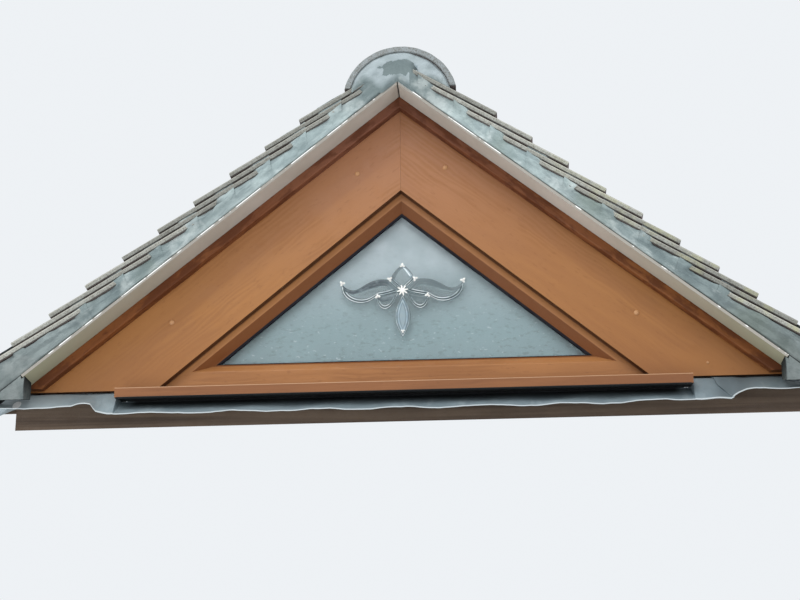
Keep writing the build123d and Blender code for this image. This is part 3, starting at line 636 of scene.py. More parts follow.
def crystalMaterial():
    # "bevel" runs from 0 at a piece's rim to 1 at its flat table; "low" is 1 on the edges that look down,
    # "sky" on the cuts that catch the sky and "glint" on the small cut tips. The bevels' colours are painted
    # reflection and refraction: upper bevels painted dark, lower ones lighter, painted shade at the left, a
    # painted sky reflection on "sky", painted highlights on "glint", and thin painted dark and bright lines
    # follow the rim
    material, tree, place = newMaterial("bevelledCrystal", crystal)
    bevel, low, sky, glint = [marked(tree, label) for label in ("bevel", "low", "sky", "glint")]

    def bands(rows):
        return [times(tree, ranged(tree, bevel, start, full), ranged(tree, bevel, fall, gone, share, 0))
                for start, full, fall, gone, share in rows]

    wander = ranged(tree, noise(tree, place, 30.0, 3.0), 0.35, 0.65, -0.35, 0.35)
    left = ranged(tree, axes(tree, place)["X"], *crystal["left"])
    slope = coat(tree, crystal["upper"], (left, crystal["shaded"]),
                 (number(tree, "ADD", low, wander, True), crystal["lower"]))
    above = coat(tree, crystal["sky"], (ranged(tree, sky, 0.58, 0.95, 0, 0.65), crystal["bright"]))
    strong = ranged(tree, low, *crystal["strong"])
    lit = ranged(tree, noise(tree, place, 42.0, 2.0), 0.40, 0.58, 0.10, 0.78)
    clouded = ranged(tree, noise(tree, place, 70.0), 0.35, 0.6, 0.55, 1)
    bright = highest(tree, *bands(crystal["brightBands"]))
    rim = highest(tree, ranged(tree, bevel, *crystal["rim"]), *bands(crystal["darkBands"]))
    colour = coat(tree, slope, (ranged(tree, bevel, *crystal["flat"]), crystal["table"]),
                  (times(tree, sky, clouded), above), (times(tree, rim, strong), crystal["line"]),
                  (times(tree, bright, lit, strong), crystal["bright"]), (glint, crystal["glint"]))
    solid = highest(tree, glint, sky, ranged(tree, bevel, *crystal["solid"]))
    return painted(material, crystal, colour, noise(tree, place, 40.0), alpha=solid)


def plainMaterial(name, look):
    # small fittings: two close shades, and wear in the roughness
    material, tree, place = newMaterial(name, look)
    worn = weathered(tree, place, look["wear"])
    colour = coat(tree, look["pale"], (worn["Cloud"], look["dark"]))
    return painted(material, look, colour, worn["Patch"], worn["Grit"])


def dress(material, *names):
    for name in names:
        mesh = nodes[name].data
        mesh.materials.clear()
        mesh.materials.append(material)


clayFinish = clayMaterial("weatheredClay", clay["edge"])
ridgeFinish = clayMaterial("ridgeClay", clay["ridge"])
mortarFinish, leadFinish = mortarMaterial(), leadMaterial()
sawnFinish, treatedFinish = timberMaterial("sawnPine", pine), timberMaterial("treatedPine", treated)
boardFinish, membraneFinish = undercloakMaterial(), membraneMaterial()
for label, side in sides:
    dress(foils["board", label], "gable_board_" + label)
    dress(foils["trim", label], "raking_trim_" + label)
    dress(foils["frame", label], "frame_rake_" + label, "glazing_bead_" + label)
    dress(foils["sill", "bottom"], "sill_end_cap_" + label)
    dress(boardFinish, "undercloak_" + label)
    dress(membraneFinish, "underlay_" + label)
    dress(sawnFinish, "gable_rafter_" + label, "jack_rafter_" + label)
    dress(treatedFinish, "layboard_" + label, "battens_" + label)
    dress(leadFinish, "valley_lead_" + label)
dress(foils["frame", "bottom"], "frame_bottom_rail", "glazing_bead_bottom")
dress(foils["sill", "bottom"], "sill")
dress(sawnFinish, "ridge_board")
dress(treatedFinish, "sole_plate")
dress(leadFinish, "lead_saddle")
dress(plainMaterial("spacerAluminium", aluminium), "spacer_bar")
dress(clearPaneMaterial(), "outer_pane")
dress(obscuredPaneMaterial(), "inner_pane")
print("materials are made and the carried-over parts are dressed")


# Plain tiles, laid one by one in ten courses a side

tile = dict(length=0.265, topLength=0.22504, width=0.165, halfMore=0.248, joint=0.0025, thick=0.0108,
            camber=0.0017, slab=0.0125, clearance=0.0003, gauge=0.097, firstTail=0.21608, courses=10,
            overhang=0.004, battenTop=0.0265, nibDepth=0.010, nibLength=0.015, fit=0.0003, narrowest=0.012,
            shortest=0.02, jitter=0.0012, rock=0.15, endJitter=0.0024, buried=2, buriedShift=1.2,
            askew=0.0024, round=0.0016, sideRound=0.8, underRound=0.4, tailSteps=[0.0, 0.0008, 0.0030],
            steps=[0.25, 0.5, 0.75, 0.994, 1.0], stepRound=[1.0, 0.35, 0, 0, 0, 0, 0, 0.6],
            across=[0.0, 0.012, 0.17, 0.34, 0.5, 0.66, 0.83, 0.988, 1.0], vergeMark=(0.3, 0.7),
            middle=0.55, seeds=dict(left=11, right=29))
courseRise = tile["slab"] + tile["clearance"]
tilt = atan(courseRise / sqrt(tile["gauge"] ** 2 - courseRise ** 2))
tiltSin, tiltCos, tiltTan = sin(tilt), cos(tilt), tan(tilt)
nibRun = tile["nibLength"] * tiltCos + tile["nibDepth"] * tiltSin + tile["fit"]
tailUnderside = tile["battenTop"] + tile["fit"] + (tile["length"] * tiltCos - nibRun) * tiltTan
tailTop = tailUnderside + tile["slab"] * tiltCos
firstTailRun = (tile["firstTail"] - tailTop * slopeSin) / slopeCos
vergeEnd = roof["vergeFront"] - tile["overhang"]


def oneTile(side, tail, length, near, wide, lift, askew):
    # a ring of width by thickness, arched across, is carried up the tile from tail to head, and the valley
    # trims its inner end: s runs across from 0 to 1, t up the tile in metres
    reach = (tileLimit - near - tile["narrowest"] - tailTop * slopeSin) / slopeCos
    begin = max(0.0, (tail - reach) / tiltCos)
    if begin > length - tile["shortest"]:
        return None
    t = begin + np.concatenate([tile["tailSteps"], np.array(tile["steps"]) * (length - begin)])[:, None]
    s = np.concatenate([tile["across"], tile["across"][::-1]])[None, :]
    upper = np.repeat([0.0, 1.0], len(tile["across"]))[None, :]
    edge = np.isclose(s, 0.0) | np.isclose(s, 1.0)
    soften = tile["round"] * np.maximum(edge * tile["sideRound"], np.array(tile["stepRound"])[:, None])
    arch = tile["camber"] * (1 - (2 * s - 1) ** 2)
    height = lift + arch + upper * (tile["thick"] - soften) + (1 - upper) * soften * tile["underRound"]
    run = tail + tile["slab"] * tiltSin - t * tiltCos - height * tiltSin
    rise = tailUnderside - t * tiltSin + height * tiltCos
    far = np.minimum(near + wide, tileLimit - (run * slopeCos + rise * slopeSin))
    y = near + (far - near) * s + askew * (t / length) ** 2 * (1 - s)
    mark, more = tile["vergeMark"]
    return onSlope(side, run, y, rise), np.broadcast_to(np.isclose(s, 0.0) * (mark + more * upper), y.shape)


def layTiles(label, side):
    dice = np.random.default_rng(tile["seeds"][label])
    bodies, tones, verges = [], [], []
    for course in range(tile["courses"]):
        tail = firstTailRun + course * tile["gauge"]
        length = tile["length"] if course else tile["topLength"]
        pushed = dice.uniform(0.0, 1.0) * tile["endJitter"]
        if course < tile["buried"]:
            # the top left courses end under the mortar, the right ones stand clear of it
            pushed = tile["endJitter"] * (tile["buriedShift"] if side < 0 else 0.0)
        near, wide = vergeEnd + pushed, tile["halfMore"] if course % 2 else tile["width"]
        while True:
            outermost = near < vergeEnd + tile["joint"] + tile["endJitter"] * 2
            drift = dice.uniform(-1, 1, 3) * tile["jitter"]
            askew = tile["askew"] if side > 0 and course == 0 and outermost else 0.0
            made = oneTile(side, tail + drift[0], length, near, wide, abs(drift[1]) * tile["rock"], askew)
            if made is None:
                break
            rings, outer = made
            bodies.append(sweep(rings))
            tones.append(np.full(outer.size, dice.uniform(0, 1)))
            verges.append(outer.ravel() * outermost)
            near, wide = near + wide + tile["joint"], tile["width"]
    addPiece("plain_tiles_" + label, joined(bodies), clayFinish, ["tile_courses_" + label],
             marks=dict(tone=np.concatenate(tones), verge=np.concatenate(verges)))


for label, side in sides:
    layTiles(label, side)
print("plain tiles are laid")


# Verge mortar: the front face follows the stack of tiles above it, and a wedge of packing fills the foot.
# Pairs are the start and end of a soft change; waves are given by height, size and seed

vergeMortar = dict(face=-0.1003, back=-0.072, proud=0.0040, swell=0.62, groove=0.0022, step=0.0025,
                   end=0.9018, headStep=0.0002, margin=0.01, least=0.018, smear=-0.1076, limit=-0.1079,
                   lowGroove=(0.0006, 0.0040), tileGap=(0.0004, 0.0036), gapPast=(0.014, 0.034),
                   smearPast=(0.011, 0.026), smearAhead=(0.004, 0.030), smearUnder=(-0.0006, 0.0022),
                   smearFrom=(0.010, 0.026), smearTo=(0.0365, 0.0395), dabs=(0.62, 0.85),
                   dabsFrom=(0.016, 0.026), dabsTo=(0.008, 0.014), dabsShare=0.9, crownFrom=(0.0008, 0.005),
                   dampLow=(0.0010, 0.0026), dampGap=(0.0008, 0.0030), dampShare=0.9, halfSeam=0.00002,
                   pastWave=(0.005, 0.035, 64), aheadWave=(0.004, 0.03, 65), swellWave=(0.38, 0.10, 66),
                   roughWave=(0.0005, 0.016, 67), dabsWave=(1.0, 0.13, 68), smearWave=(0.0012, 0.03, 69),
                   band=[0.0, 0.016, 0.05, 0.10, 0.17, 0.26, 0.36, 0.46, 0.56, 0.66, 0.76, 0.85, 0.92, 0.965,
                         0.99, 1.0], lip=[0.001, 0.003, 0.006, 0.009, 0.0115, 0.0130, 0.0150])
crown = dict(face=-0.1066, shallow=-0.1050, broad=(0.0010, 0.055, 61), fine=(0.0004, 0.014, 62),
             left=(0.076, 0.046), right=(0.050, 0.028))
footWedge = dict(near=0.7820, far=0.8490, low=0.0402, front=-0.1003, back=-0.0504, bulge=0.0042, inset=0.0012,
                 columns=30, rise=0.25, fit=0.0006, swell=0.75, swellWave=(0.25, 0.05),
                 roughWave=(0.0009, 0.02), lowRough=0.0008, lowSize=0.03, depths=8, shade=(0.050, 0.066),
                 rows=[0.0, 0.03, 0.10, 0.22, 0.36, 0.50, 0.64, 0.78, 0.90, 0.97, 1.0], least=0.004,
                 lip=0.002, round=(0.02, 0.98), endShadeShare=(0.45, 0.55), seeds=dict(left=31, right=37))


def crownFace(x, z):
    # the face of the mortar round the apex, the same for the pieces that meet there, so no seam shows
    face = crown["face"] - uneven(x, z, *crown["broad"]) - uneven(x, z, *crown["fine"])
    return np.clip(face, vergeMortar["limit"], crown["shallow"])


def lowestTile(run):
    # over each run down the deck: the height of the lowest tile's underside, and the run of that tile's head
    head = tile["length"] * tiltCos - tile["slab"] * tiltSin
    course = np.clip(np.floor((run + head - firstTailRun) / tile["gauge"]), 0, tile["courses"] - 1)
    tail = firstTailRun + course * tile["gauge"] + tile["slab"] * tiltSin
    return tailUnderside - (tail - run) * tiltTan, tail - tile["length"] * tiltCos


def stackTop(run):
    # height of the middle of the topmost tile over each run down the deck
    course = np.clip(np.ceil((run - firstTailRun) / tile["gauge"]), 0, tile["courses"] - 1)
    under = tailUnderside - (firstTailRun + course * tile["gauge"] - run) * tiltTan
    return under + tile["thick"] * tile["middle"]


def vergeBody(label, side):
    # a grid of run by height with two columns at each tile's head; the face stands proud between a groove at
    # the undercloak and one under the tiles, and is smeared over the heads and round the apex
    look, end = vergeMortar, vergeMortar["end"] / slopeCos
    heads = np.unique(lowestTile(np.linspace(0, end, 400))[1])
    heads = heads[(heads > look["margin"]) & (heads < end - look["margin"])]
    base = np.linspace(0, end, int(end / look["step"]))
    base = np.sort(np.concatenate([base, heads - look["headStep"], heads + look["headStep"]]))[:, None]
    free, head = lowestTile(base)
    lip = free + np.array(look["lip"])
    top = np.maximum(stackTop(base), free + look["least"])
    above = lip[:, -1:] + (top - lip[:, -1:]) * np.linspace(0, 1, 5)[1:]
    height = np.concatenate([free * np.array(look["band"]), lip, above], axis=1)
    start = look["halfSeam"] - height * slopeTan
    run = start + base / end * (end - start)
    x, z = deckPoint(side, run, height)
    under = free - height
    past = run - head + uneven(x, z, *look["pastWave"])
    ahead = head + tile["gauge"] - run + uneven(x, z, *look["aheadWave"])
    tileGroove = fade(under, *look["tileGap"]) * smooth(past, *look["gapPast"])
    hollow = np.maximum(fade(height, *look["lowGroove"]), tileGroove)
    swell = look["swell"] + uneven(x, z, *look["swellWave"])
    y = look["face"] + look["groove"] * hollow - look["proud"] * (1 - hollow) * swell
    y = y + uneven(x, z, *look["roughWave"])
    overHead = fade(past, *look["smearPast"])
    beforeHead = fade(ahead, *look["smearAhead"]) * smooth(under, *look["smearUnder"])
    tall = smooth(height, *look["smearFrom"]) * fade(height, *look["smearTo"])
    dabs = smooth(uneven(x, z, *look["dabsWave"]), *look["dabs"]) * smooth(height, *look["dabsFrom"])
    dabs = look["dabsShare"] * dabs * fade(-under, *look["dabsTo"])
    cover = np.maximum(np.maximum(overHead, beforeHead) * tall, dabs)
    smearFace = np.maximum(look["smear"] + np.abs(uneven(x, z, *look["smearWave"])), look["limit"])
    y = y + (smearFace - y) * cover
    far, near = crown[label]
    crowned = smooth(-np.abs(x), -far, -near) * smooth(height, *look["crownFrom"])
    y = y + (crownFace(x, z) - y) * crowned
    # painted shade in the grooves under the tiles and along the undercloak, left off round the apex
    damp = tileGroove * fade(under, *look["dampGap"]) * look["dampShare"]
    damp = np.maximum(fade(height, *look["dampLow"]), damp)
    rings = [onSlope(side, run, y, height), onSlope(side, ends(run), look["back"], ends(height))]
    return sweep(np.concatenate(rings, axis=1)), padded(np.maximum(damp * (1 - crowned), 0))


def footBody(label, side):
    # closed rings round the wedge, one for each x: up its front, back over its top and down behind
    look, seed = footWedge, footWedge["seeds"][label]
    x = np.linspace(look["near"], look["far"], look["columns"])[:, None]
    tucked = smooth(-x, -roof["undercloakEnd"] - look["fit"], -roof["undercloakEnd"])
    top = deckApex - x * slopeTan - tucked * (roof["undercloak"] + look["fit"]) / slopeCos
    top = np.maximum(top, look["low"] + look["least"])
    turn = np.array(look["rows"])[None, :]
    z = look["low"] + (top - look["low"]) * turn
    swell = look["bulge"] * np.sin(pi * np.clip(turn, *look["round"])) ** 0.5 - look["inset"]
    y = look["front"] - swell * (look["swell"] + uneven(x, z, *look["swellWave"], seed))
    y = y + uneven(x, z, *look["roughWave"], seed + 1)
    over = np.linspace(look["front"], look["back"], look["depths"] + 1)[1:]
    over = np.broadcast_to(over, (len(x), look["depths"]))
    under = over[:, ::-1]
    low = look["low"] + look["lowRough"] * (1 + waves(x, under, look["lowSize"], seed + 2))
    low = low + (under - look["front"]) * look["rise"]
    ys = np.concatenate([y, over, under], axis=1)
    zs = np.concatenate([z, np.broadcast_to(top, over.shape), np.minimum(low, top - look["lip"])], axis=1)
    # painted shade over the wedge's underside, and on its near end, stronger higher up
    damp = np.zeros(ys.shape)
    damp[:, -under.shape[1]:] = 1.0
    dark, more = look["endShadeShare"]
    damp[0, 1:] = dark + more * smooth(zs[0, 1:], *look["shade"])
    return sweep(toRow(side * x, ys, zs)), damp.ravel()


def mortarMarks(count, **values):
    # the mortar's three marks, all nought where nothing is said
    return {label: values.get(label, np.zeros(count)) for label in ("stain", "fresh", "damp")}


for label, side in sides:
    (verge, line), (foot, shade) = vergeBody(label, side), footBody(label, side)
    damp = np.concatenate([line, shade])
    addPiece("rough_mortar_" + label, joined([verge, foot]), mortarFinish,
             ["verge_mortar_" + label], marks=mortarMarks(len(damp), damp=damp))
print("verge mortar is struck")


# Half-round ridge tiles with worn arrises, their bedding, and the mortar in the front one's end

ridge = dict(radius=0.125, thick=0.0135, centre=0.69492, foot=0.72192, front=-0.108, tile=0.352, joint=0.004,
             worn=0.0030, innerWorn=0.4, arcs=44, warp=0.0010, warpSize=0.3, chip=0.0009, chipSize=0.03,
             skew=0.006, endBand=0.004, endTone=0.7, endSteps=[0.0, 0.0006, 0.0015, 0.003, 0.006],
             plainFrom=0.02, tones=(0.35, 0.2))
plug = dict(back=-0.074, columns=73, rows=26, fit=0.0004, recess=0.0042, deeper=(0.024, 0.044), lowest=0.690,
            least=0.004, dip=0.044, dipAcross=(0.030, 0.078), rimDish=0.0035, rimReach=0.0055, lowDish=0.0024,
            lowReach=0.007, patch=(0.004, 0.768, 0.041, 0.018), patchEdge=(-1.05, -0.85), patchProud=0.0009,
            patchWave=(0.22, 0.03, 77), pale=(0.004, 0.030), paleShare=0.75, paleWave=(0.25, 0.04, 78),
            span=0.985, tuck=0.002, proud=0.0002)
bedding = dict(section=[(0.1062, 0.7232), (0.1252, 0.7216), (0.1262, 0.7180), (0.1268, 0.7140),
                        (0.1276, 0.7098), (0.1240, 0.7108), (0.1150, 0.7168)], front=-0.0725, back=0.7095,
               step=0.006, spread=0.008, push=(0.0016, 0.045), sink=(0.00096, 0.03, 92), highest=0.7236,
               seeds=dict(left=91, right=94))


def ridgeBody(front, back, seed, skew):
    # an arch section, level at its feet, is carried along y; its ends and its outer arrises are worn round
    outer, inner = ridge["radius"], ridge["radius"] - ridge["thick"]
    rise = ridge["foot"] - ridge["centre"]
    t = np.linspace(0, 1, ridge["arcs"])
    turn = np.concatenate([np.arcsin(rise / radius) + share * (pi - 2 * np.arcsin(rise / radius))
                           for radius, share in ((outer, t), (inner, t[::-1]))])[None, :]
    base, isOuter = [np.repeat(pair, ridge["arcs"])[None, :] for pair in ([outer, inner], [1.0, 0.0])]
    far, steps = back - front, np.array(ridge["endSteps"])
    middle = np.linspace(ridge["plainFrom"], far - ridge["plainFrom"], 9)
    along = np.concatenate([steps, middle, far - steps[::-1]])[:, None]
    edge = np.minimum(along, far - along)
    inset = ridge["worn"] * (1 - np.sqrt(np.clip(1 - (1 - np.clip(edge / ridge["worn"], 0, 1)) ** 2, 0, 1)))
    chip = np.abs(waves(turn * outer, along, ridge["chipSize"], seed)) * (edge < ridge["endBand"])
    warp = 0.5 + 0.5 * waves(turn * 0.12, along, ridge["warpSize"], seed + 1)
    radius = base - isOuter * (inset + ridge["chip"] * chip + ridge["warp"] * warp)
    radius = radius + (1 - isOuter) * inset * ridge["innerWorn"]
    x = radius * np.cos(turn) + skew * (1 - along / far)
    z = ridge["centre"] + np.maximum(radius * np.sin(turn), rise)
    return toRow(x, front + along, z), np.broadcast_to(along < ridge["endBand"], x.shape)


def beddingBody(label, side):
    # the section's corners are carried along y, and each is pushed about a little
    y = np.arange(bedding["front"], bedding["back"], bedding["step"])[:, None]
    cornerX, cornerZ = np.array(bedding["section"]).T
    around = np.arange(len(cornerX))[None, :] * bedding["spread"]
    push = uneven(y, around, *bedding["push"], bedding["seeds"][label])
    z = np.minimum(cornerZ + uneven(y, around, *bedding["sink"]), bedding["highest"])
    return sweep(toRow(side * (cornerX + push), y, z))


for index, label in enumerate(("front", "middle", "back")):
    start, foremost = ridge["front"] + index * (ridge["tile"] + ridge["joint"]), index == 0
    rings, atEnd = ridgeBody(start, start + ridge["tile"], 50 + index * 7, ridge["skew"] * foremost)
    tone = ridge["tones"][0] + ridge["tones"][1] * index
    addPiece("half_round_" + label, sweep(rings), ridgeFinish, ["ridge_tile_" + label],
             marks=dict(tone=np.full(atEnd.size, tone), verge=atEnd.ravel() * ridge["endTone"] * foremost))
for label, side in sides:
    bead = beddingBody(label, side)
    addPiece("bedding_bead_" + label, bead, mortarFinish, ["ridge_bedding_" + label],
             marks=mortarMarks(len(bead[0])))


def plugBody():
    # a grid from the undercloaks' apex up to the arch: x runs across, v from below to above; its rim is
    # dished, its lower edge dips behind the verge mortar, and it lies deeper at the right, clear of the tiles
    limit = ridge["radius"] - ridge["thick"] - plug["fit"]
    reach = limit * plug["span"]
    across = np.linspace(-reach, reach, plug["columns"])[:, None]
    x = across + ridge["skew"]
    v = np.linspace(0, 1, plug["rows"])[None, :]
    top = ridge["centre"] + np.sqrt(limit ** 2 - across ** 2)
    dip = smooth(np.abs(x), *plug["dipAcross"]) * plug["dip"] / slopeCos
    low = np.maximum(deckApex - np.abs(x) * slopeTan - plug["tuck"] + dip, plug["lowest"])
    low = np.minimum(low, top - plug["least"])
    z = low + (top - low) * v
    rim = limit - np.sqrt(across ** 2 + (z - ridge["centre"]) ** 2)
    y = crownFace(x, z) - plug["proud"] + plug["recess"] * smooth(x, *plug["deeper"])
    y = y + plug["rimDish"] * fade(rim, 0, plug["rimReach"])
    y = y + plug["lowDish"] * fade(z - low, 0, plug["lowReach"])
    centreX, centreZ, wide, tall = plug["patch"]
    bent = np.hypot((x - centreX) / wide, (z - centreZ) / tall) + uneven(x, z, *plug["patchWave"])
    stain = smooth(-bent, *plug["patchEdge"])
    y = np.maximum(y + plug["patchProud"] * stain, vergeMortar["limit"])
    fresh = smooth(z - low, *plug["pale"]) * (plug["paleShare"] + uneven(x, z, *plug["paleWave"]))
    rings = np.concatenate([toRow(x, y, z), toRow(x, plug["back"], ends(z))], axis=1)
    return sweep(rings), padded(stain), padded(fresh)


infill, stain, fresh = plugBody()
addPiece("ridge_end_infill", infill, mortarFinish, ["ridge_end_mortar"],
         marks=mortarMarks(len(stain), stain=stain, fresh=fresh))
print("ridge tiles are bedded")


# Lead apron: sheets dressed down over a tile course, with a waved lower edge

apron = dict(left=-0.8558, stepLeft=-0.6319, stepRight=0.6799, right=0.8558, gap=0.0002, sillEnd=0.6004,
             riserEnd=0.6022, riserSteps=(-0.0002, 0.0006), thick=0.0018, edgeY=-0.068, foremost=-0.0705,
             knee=(-0.024, 0.067), fold=(-0.0024, 0.0745), wallLow=(-0.0021, 0.080),
             wallTop=(-0.0019, 0.111), underFold=(-0.0026, 0.053), soleFront=-0.0018, soleTop=0.0555,
             tongue=0.0385, tilePitch=0.172, tileShift=-0.004, wave=0.0020, looseReach=0.046, stiffness=1.3,
             step=0.006, rows=(16, 7, 3, 4), crowding=1.4, lap=0.0026, lapLift=(0.45, 0.8),
             lapEnd=(0.684, 0.706), lapY=[-0.068, -0.040, -0.002], lapX=[0.6790, 0.6500, 0.6400],
             drift=(0.0010, 0.09, 81), slack=(0.0014, 0.12, 82), beaten=(0.0004, 0.035, 83),
             dents=(0.0012, 0.11, 84), dentsFrom=(-0.066, -0.050), dentsTo=(-0.012, -0.003),
             shadeFrom=(-0.050, -0.008), shadeEnd=(-0.036, -0.010),
             edge=[(-0.860, 0.0290), (-0.690, 0.0295), (-0.676, 0.0340), (-0.650, 0.0340), (-0.639, 0.0190),
                   (-0.613, 0.0150), (-0.561, 0.0120), (0.000, 0.0105), (0.410, 0.0095), (0.593, 0.0140),
                   (0.649, 0.0130), (0.675, 0.0100), (0.690, 0.0210), (0.705, 0.0290), (0.725, 0.0330),
                   (0.860, 0.0320)])


def sheetRings(x, y, z, thick):
    # the upper face (y, z) as arrays (x, points); the underside is the same line moved square to it
    dy, dz = np.gradient(y, axis=1), np.gradient(z, axis=1)
    size = np.sqrt(dy ** 2 + dz ** 2)
    pairs = ((x, x), (y, y + dz / size * thick), (z, z - dy / size * thick))
    return toRow(*(np.concatenate([upper, lower[:, ::-1]], axis=1) for upper, lower in pairs))


def apronFace(x):
    # the profile from the edge up is one line beside the sill and another under it; they swap at the riser
    thick, edgeY = apron["thick"], apron["edgeY"]
    (kneeY, kneeZ), (foldY, foldZ), (underY, underZ) = apron["knee"], apron["fold"], apron["underFold"]
    kneeZ, foldZ, underZ, sole = kneeZ + thick, foldZ + thick, underZ + thick, apron["soleTop"] + thick
    heights = np.array(apron["edge"])
    edge = np.interp(x[:, 0], heights[:, 0], heights[:, 1])[:, None] + thick
    underKnee = edge + (underZ - edge) * (kneeY - edgeY) / (underY - edgeY)
    # each point of the profile: y and z beside the sill, y and z under it
    points = [(edgeY, edge, edgeY, edge), (kneeY, kneeZ, kneeY, underKnee), (foldY, foldZ, underY, underZ),
              (*apron["wallLow"], apron["soleFront"], sole), (*apron["wallTop"], apron["tongue"], sole)]
    under = fade(np.abs(x[:, :1]), apron["sillEnd"], apron["riserEnd"])
    corners = [(besideY + (y - besideY) * under, besideZ + (z - besideZ) * under)
               for besideY, besideZ, y, z in points]
    y, z = [], []
    for part, count in enumerate(apron["rows"]):
        t = np.linspace(0, 1, count, endpoint=False)[None, :] ** (1 if part else apron["crowding"])
        (startY, startZ), (endY, endZ) = corners[part:part + 2]
        y.append(startY + (endY - startY) * t)
        z.append(startZ + (endZ - startZ) * t)
    y, z = np.concatenate(y + [corners[-1][0]], axis=1), np.concatenate(z + [corners[-1][1]], axis=1)
    loose = np.clip(1 - (y - edgeY) / apron["looseReach"], 0, 1) ** apron["stiffness"]
    ripple = apron["wave"] * np.cos(2 * pi * (x - apron["tileShift"]) / apron["tilePitch"])
    z = z + loose * (ripple + uneven(x, y * 2, *apron["drift"]))
    z = z + np.clip(loose * 3, 0, 1) * uneven(x, y, *apron["beaten"])
    z = z + uneven(x, y, *apron["dents"]) * smooth(y, *apron["dentsFrom"]) * fade(y, *apron["dentsTo"])
    return np.maximum(y + loose * uneven(x, z, *apron["slack"]), apron["foremost"]), z


def sheetBody(left, right, slanted):
    x = np.linspace(left, right, int((right - left) / apron["step"]) + 2)[:, None]
    if not slanted:
        risers = [apron["sillEnd"] + step for step in apron["riserSteps"]]
        risers += [apron["riserEnd"] - step for step in apron["riserSteps"]]
        risers = np.array([side * riser for side in (-1, 1) for riser in risers])
        risers = risers[(risers > left) & (risers < right)]
        x = np.sort(np.concatenate([x[:, 0], risers]))[:, None]
    y, z = apronFace(x)
    x = np.broadcast_to(x, y.shape)
    if slanted:
        # the lapped end: each row of the profile starts at its own x, and lies over the sheet below it
        start = np.interp(y[0], apron["lapY"], apron["lapX"])[None, :]
        x = start + (x - left) * (right - start) / (right - left)
        near = np.linspace(apron["lapX"][-1], right, 200)
        y, z = [np.stack([np.interp(x[:, k], near, grid[:, k]) for k in range(x.shape[1])], axis=1)
                for grid in apronFace(near[:, None])]
        lift = apron["lap"] * fade(x, *apron["lapEnd"])
        forward, upward = apron["lapLift"]
        y, z = np.maximum(y - lift * forward, apron["foremost"]), z + lift * upward
    bright = np.zeros(y.shape)
    bright[:, :2] = 1.0
    # painted shade on the lead under the sill, fading out past the sill's ends
    paintedShade = smooth(y, *apron["shadeFrom"]) * fade(np.abs(x) - apron["sillEnd"], *apron["shadeEnd"])
    marks = {label: np.concatenate([mark, mark[:, ::-1]], axis=1).ravel()
             for label, mark in (("edge", bright), ("paintedShade", paintedShade))}
    return sweep(sheetRings(x, y, z, apron["thick"])), marks


for label, left, right in (("left", apron["left"], apron["stepLeft"]),
                           ("middle", apron["stepLeft"] + apron["gap"], apron["stepRight"]),
                           ("right", apron["stepRight"] + apron["gap"], apron["right"])):
    sheet, marks = sheetBody(left, right, label == "right")
    addPiece("dressed_lead_" + label, sheet, leadFinish, ["lead_apron_" + label], marks=marks)
print("lead is dressed")


# Bevelled glass on the pane: kite, drop, wings and lobes round a cut star, with small cut tips. Outlines and
# tips are in millimetres from the star's centre, and a tip's third number is its turn in degrees

cluster = dict(centre=0.295983, seat=0.018, land=0.0006, drop=0.0030, bevel=0.0115, rows=46, narrowest=0.0003,
               levels=[0.0, 0.06, 0.14, 0.26, 0.42, 0.52, 0.64, 0.78, 0.92, 1.0],
               kite=[[(0, 61), (15, 46), (27.5, 25.6)], [(27.5, 25.6), (14, 12.5), (0, 2)]],
               pendant=[[(0, -8), (13, -36), (17, -60), (11, -86), (0, -107)]],
               wingTop=[[(6, 0), (31, 26)],
                        [(31, 26), (46, 27), (82, 15), (106, 4), (122, 9), (134, 22)]],
               wingLow=[[(6, 0), (34, -8), (56, -12)],
                        [(56, -12), (74, -24), (98, -26), (128, -6), (134, 22)]],
               lobeTop=[[(6, -2), (34, -10), (56, -14)]],
               lobeLow=[[(6, -2), (17, -22), (26, -36), (40, -42), (54, -28), (56, -14)]],
               tips=[(0, 57, 90), (27, 27, 20), (-27, 27, 160), (131, 20, 50), (-131, 20, 130),
                     (54, -11, 200), (-54, -11, -20), (0, -92, 270)],
               tipShare=0.9, wingWide=1.5, kiteLow=(0.52, 0.62), leftLow=0.4, pendantShine=0.55,
               kiteSky=[(0.12, 0.18), (0.44, 0.52), (0.18, 0.34), (0.80, 1.0)],
               pendantSky=[(0.06, 0.16), (0.80, 0.92), (0.20, 0.42)])
cutForm = dict(waist=0.42, taper=0.80, levels=[0.0, 0.35, 0.75, 1.0])
star = dict(cutForm, reach=0.0130, arms=8, power=2.5, turn=0.2, low=0.0150, high=0.0121)
cutTip = dict(cutForm, reach=0.0066, arms=3, power=1.3, low=0.0175, high=0.0135)


def throughPoints(points, count):
    # a natural cubic curve through the points by chord length; the bends at the points are solved together
    p = np.array(points, float)
    gaps = np.hypot(*np.diff(p, axis=0).T)
    reach = np.concatenate([[0], np.cumsum(gaps)])
    table, right = np.eye(len(p)), np.zeros((len(p), 2))
    inner = np.arange(1, len(p) - 1)
    table[inner, inner - 1], table[inner, inner + 1] = gaps[:-1], gaps[1:]
    table[inner, inner] = 2 * (gaps[:-1] + gaps[1:])
    right[1:-1] = 6 * np.diff(np.diff(p, axis=0) / gaps[:, None], axis=0)
    bends = np.linalg.solve(table, right)
    t = np.linspace(0, reach[-1], count)
    k = np.clip(np.searchsorted(reach, t) - 1, 0, len(p) - 2)
    a, b, gap = ((reach[k + 1] - t) / gaps[k])[:, None], ((t - reach[k]) / gaps[k])[:, None], gaps[k][:, None]
    return a * p[k] + b * p[k + 1] + ((a ** 3 - a) * bends[k] + (b ** 3 - b) * bends[k + 1]) * gap ** 2 / 6


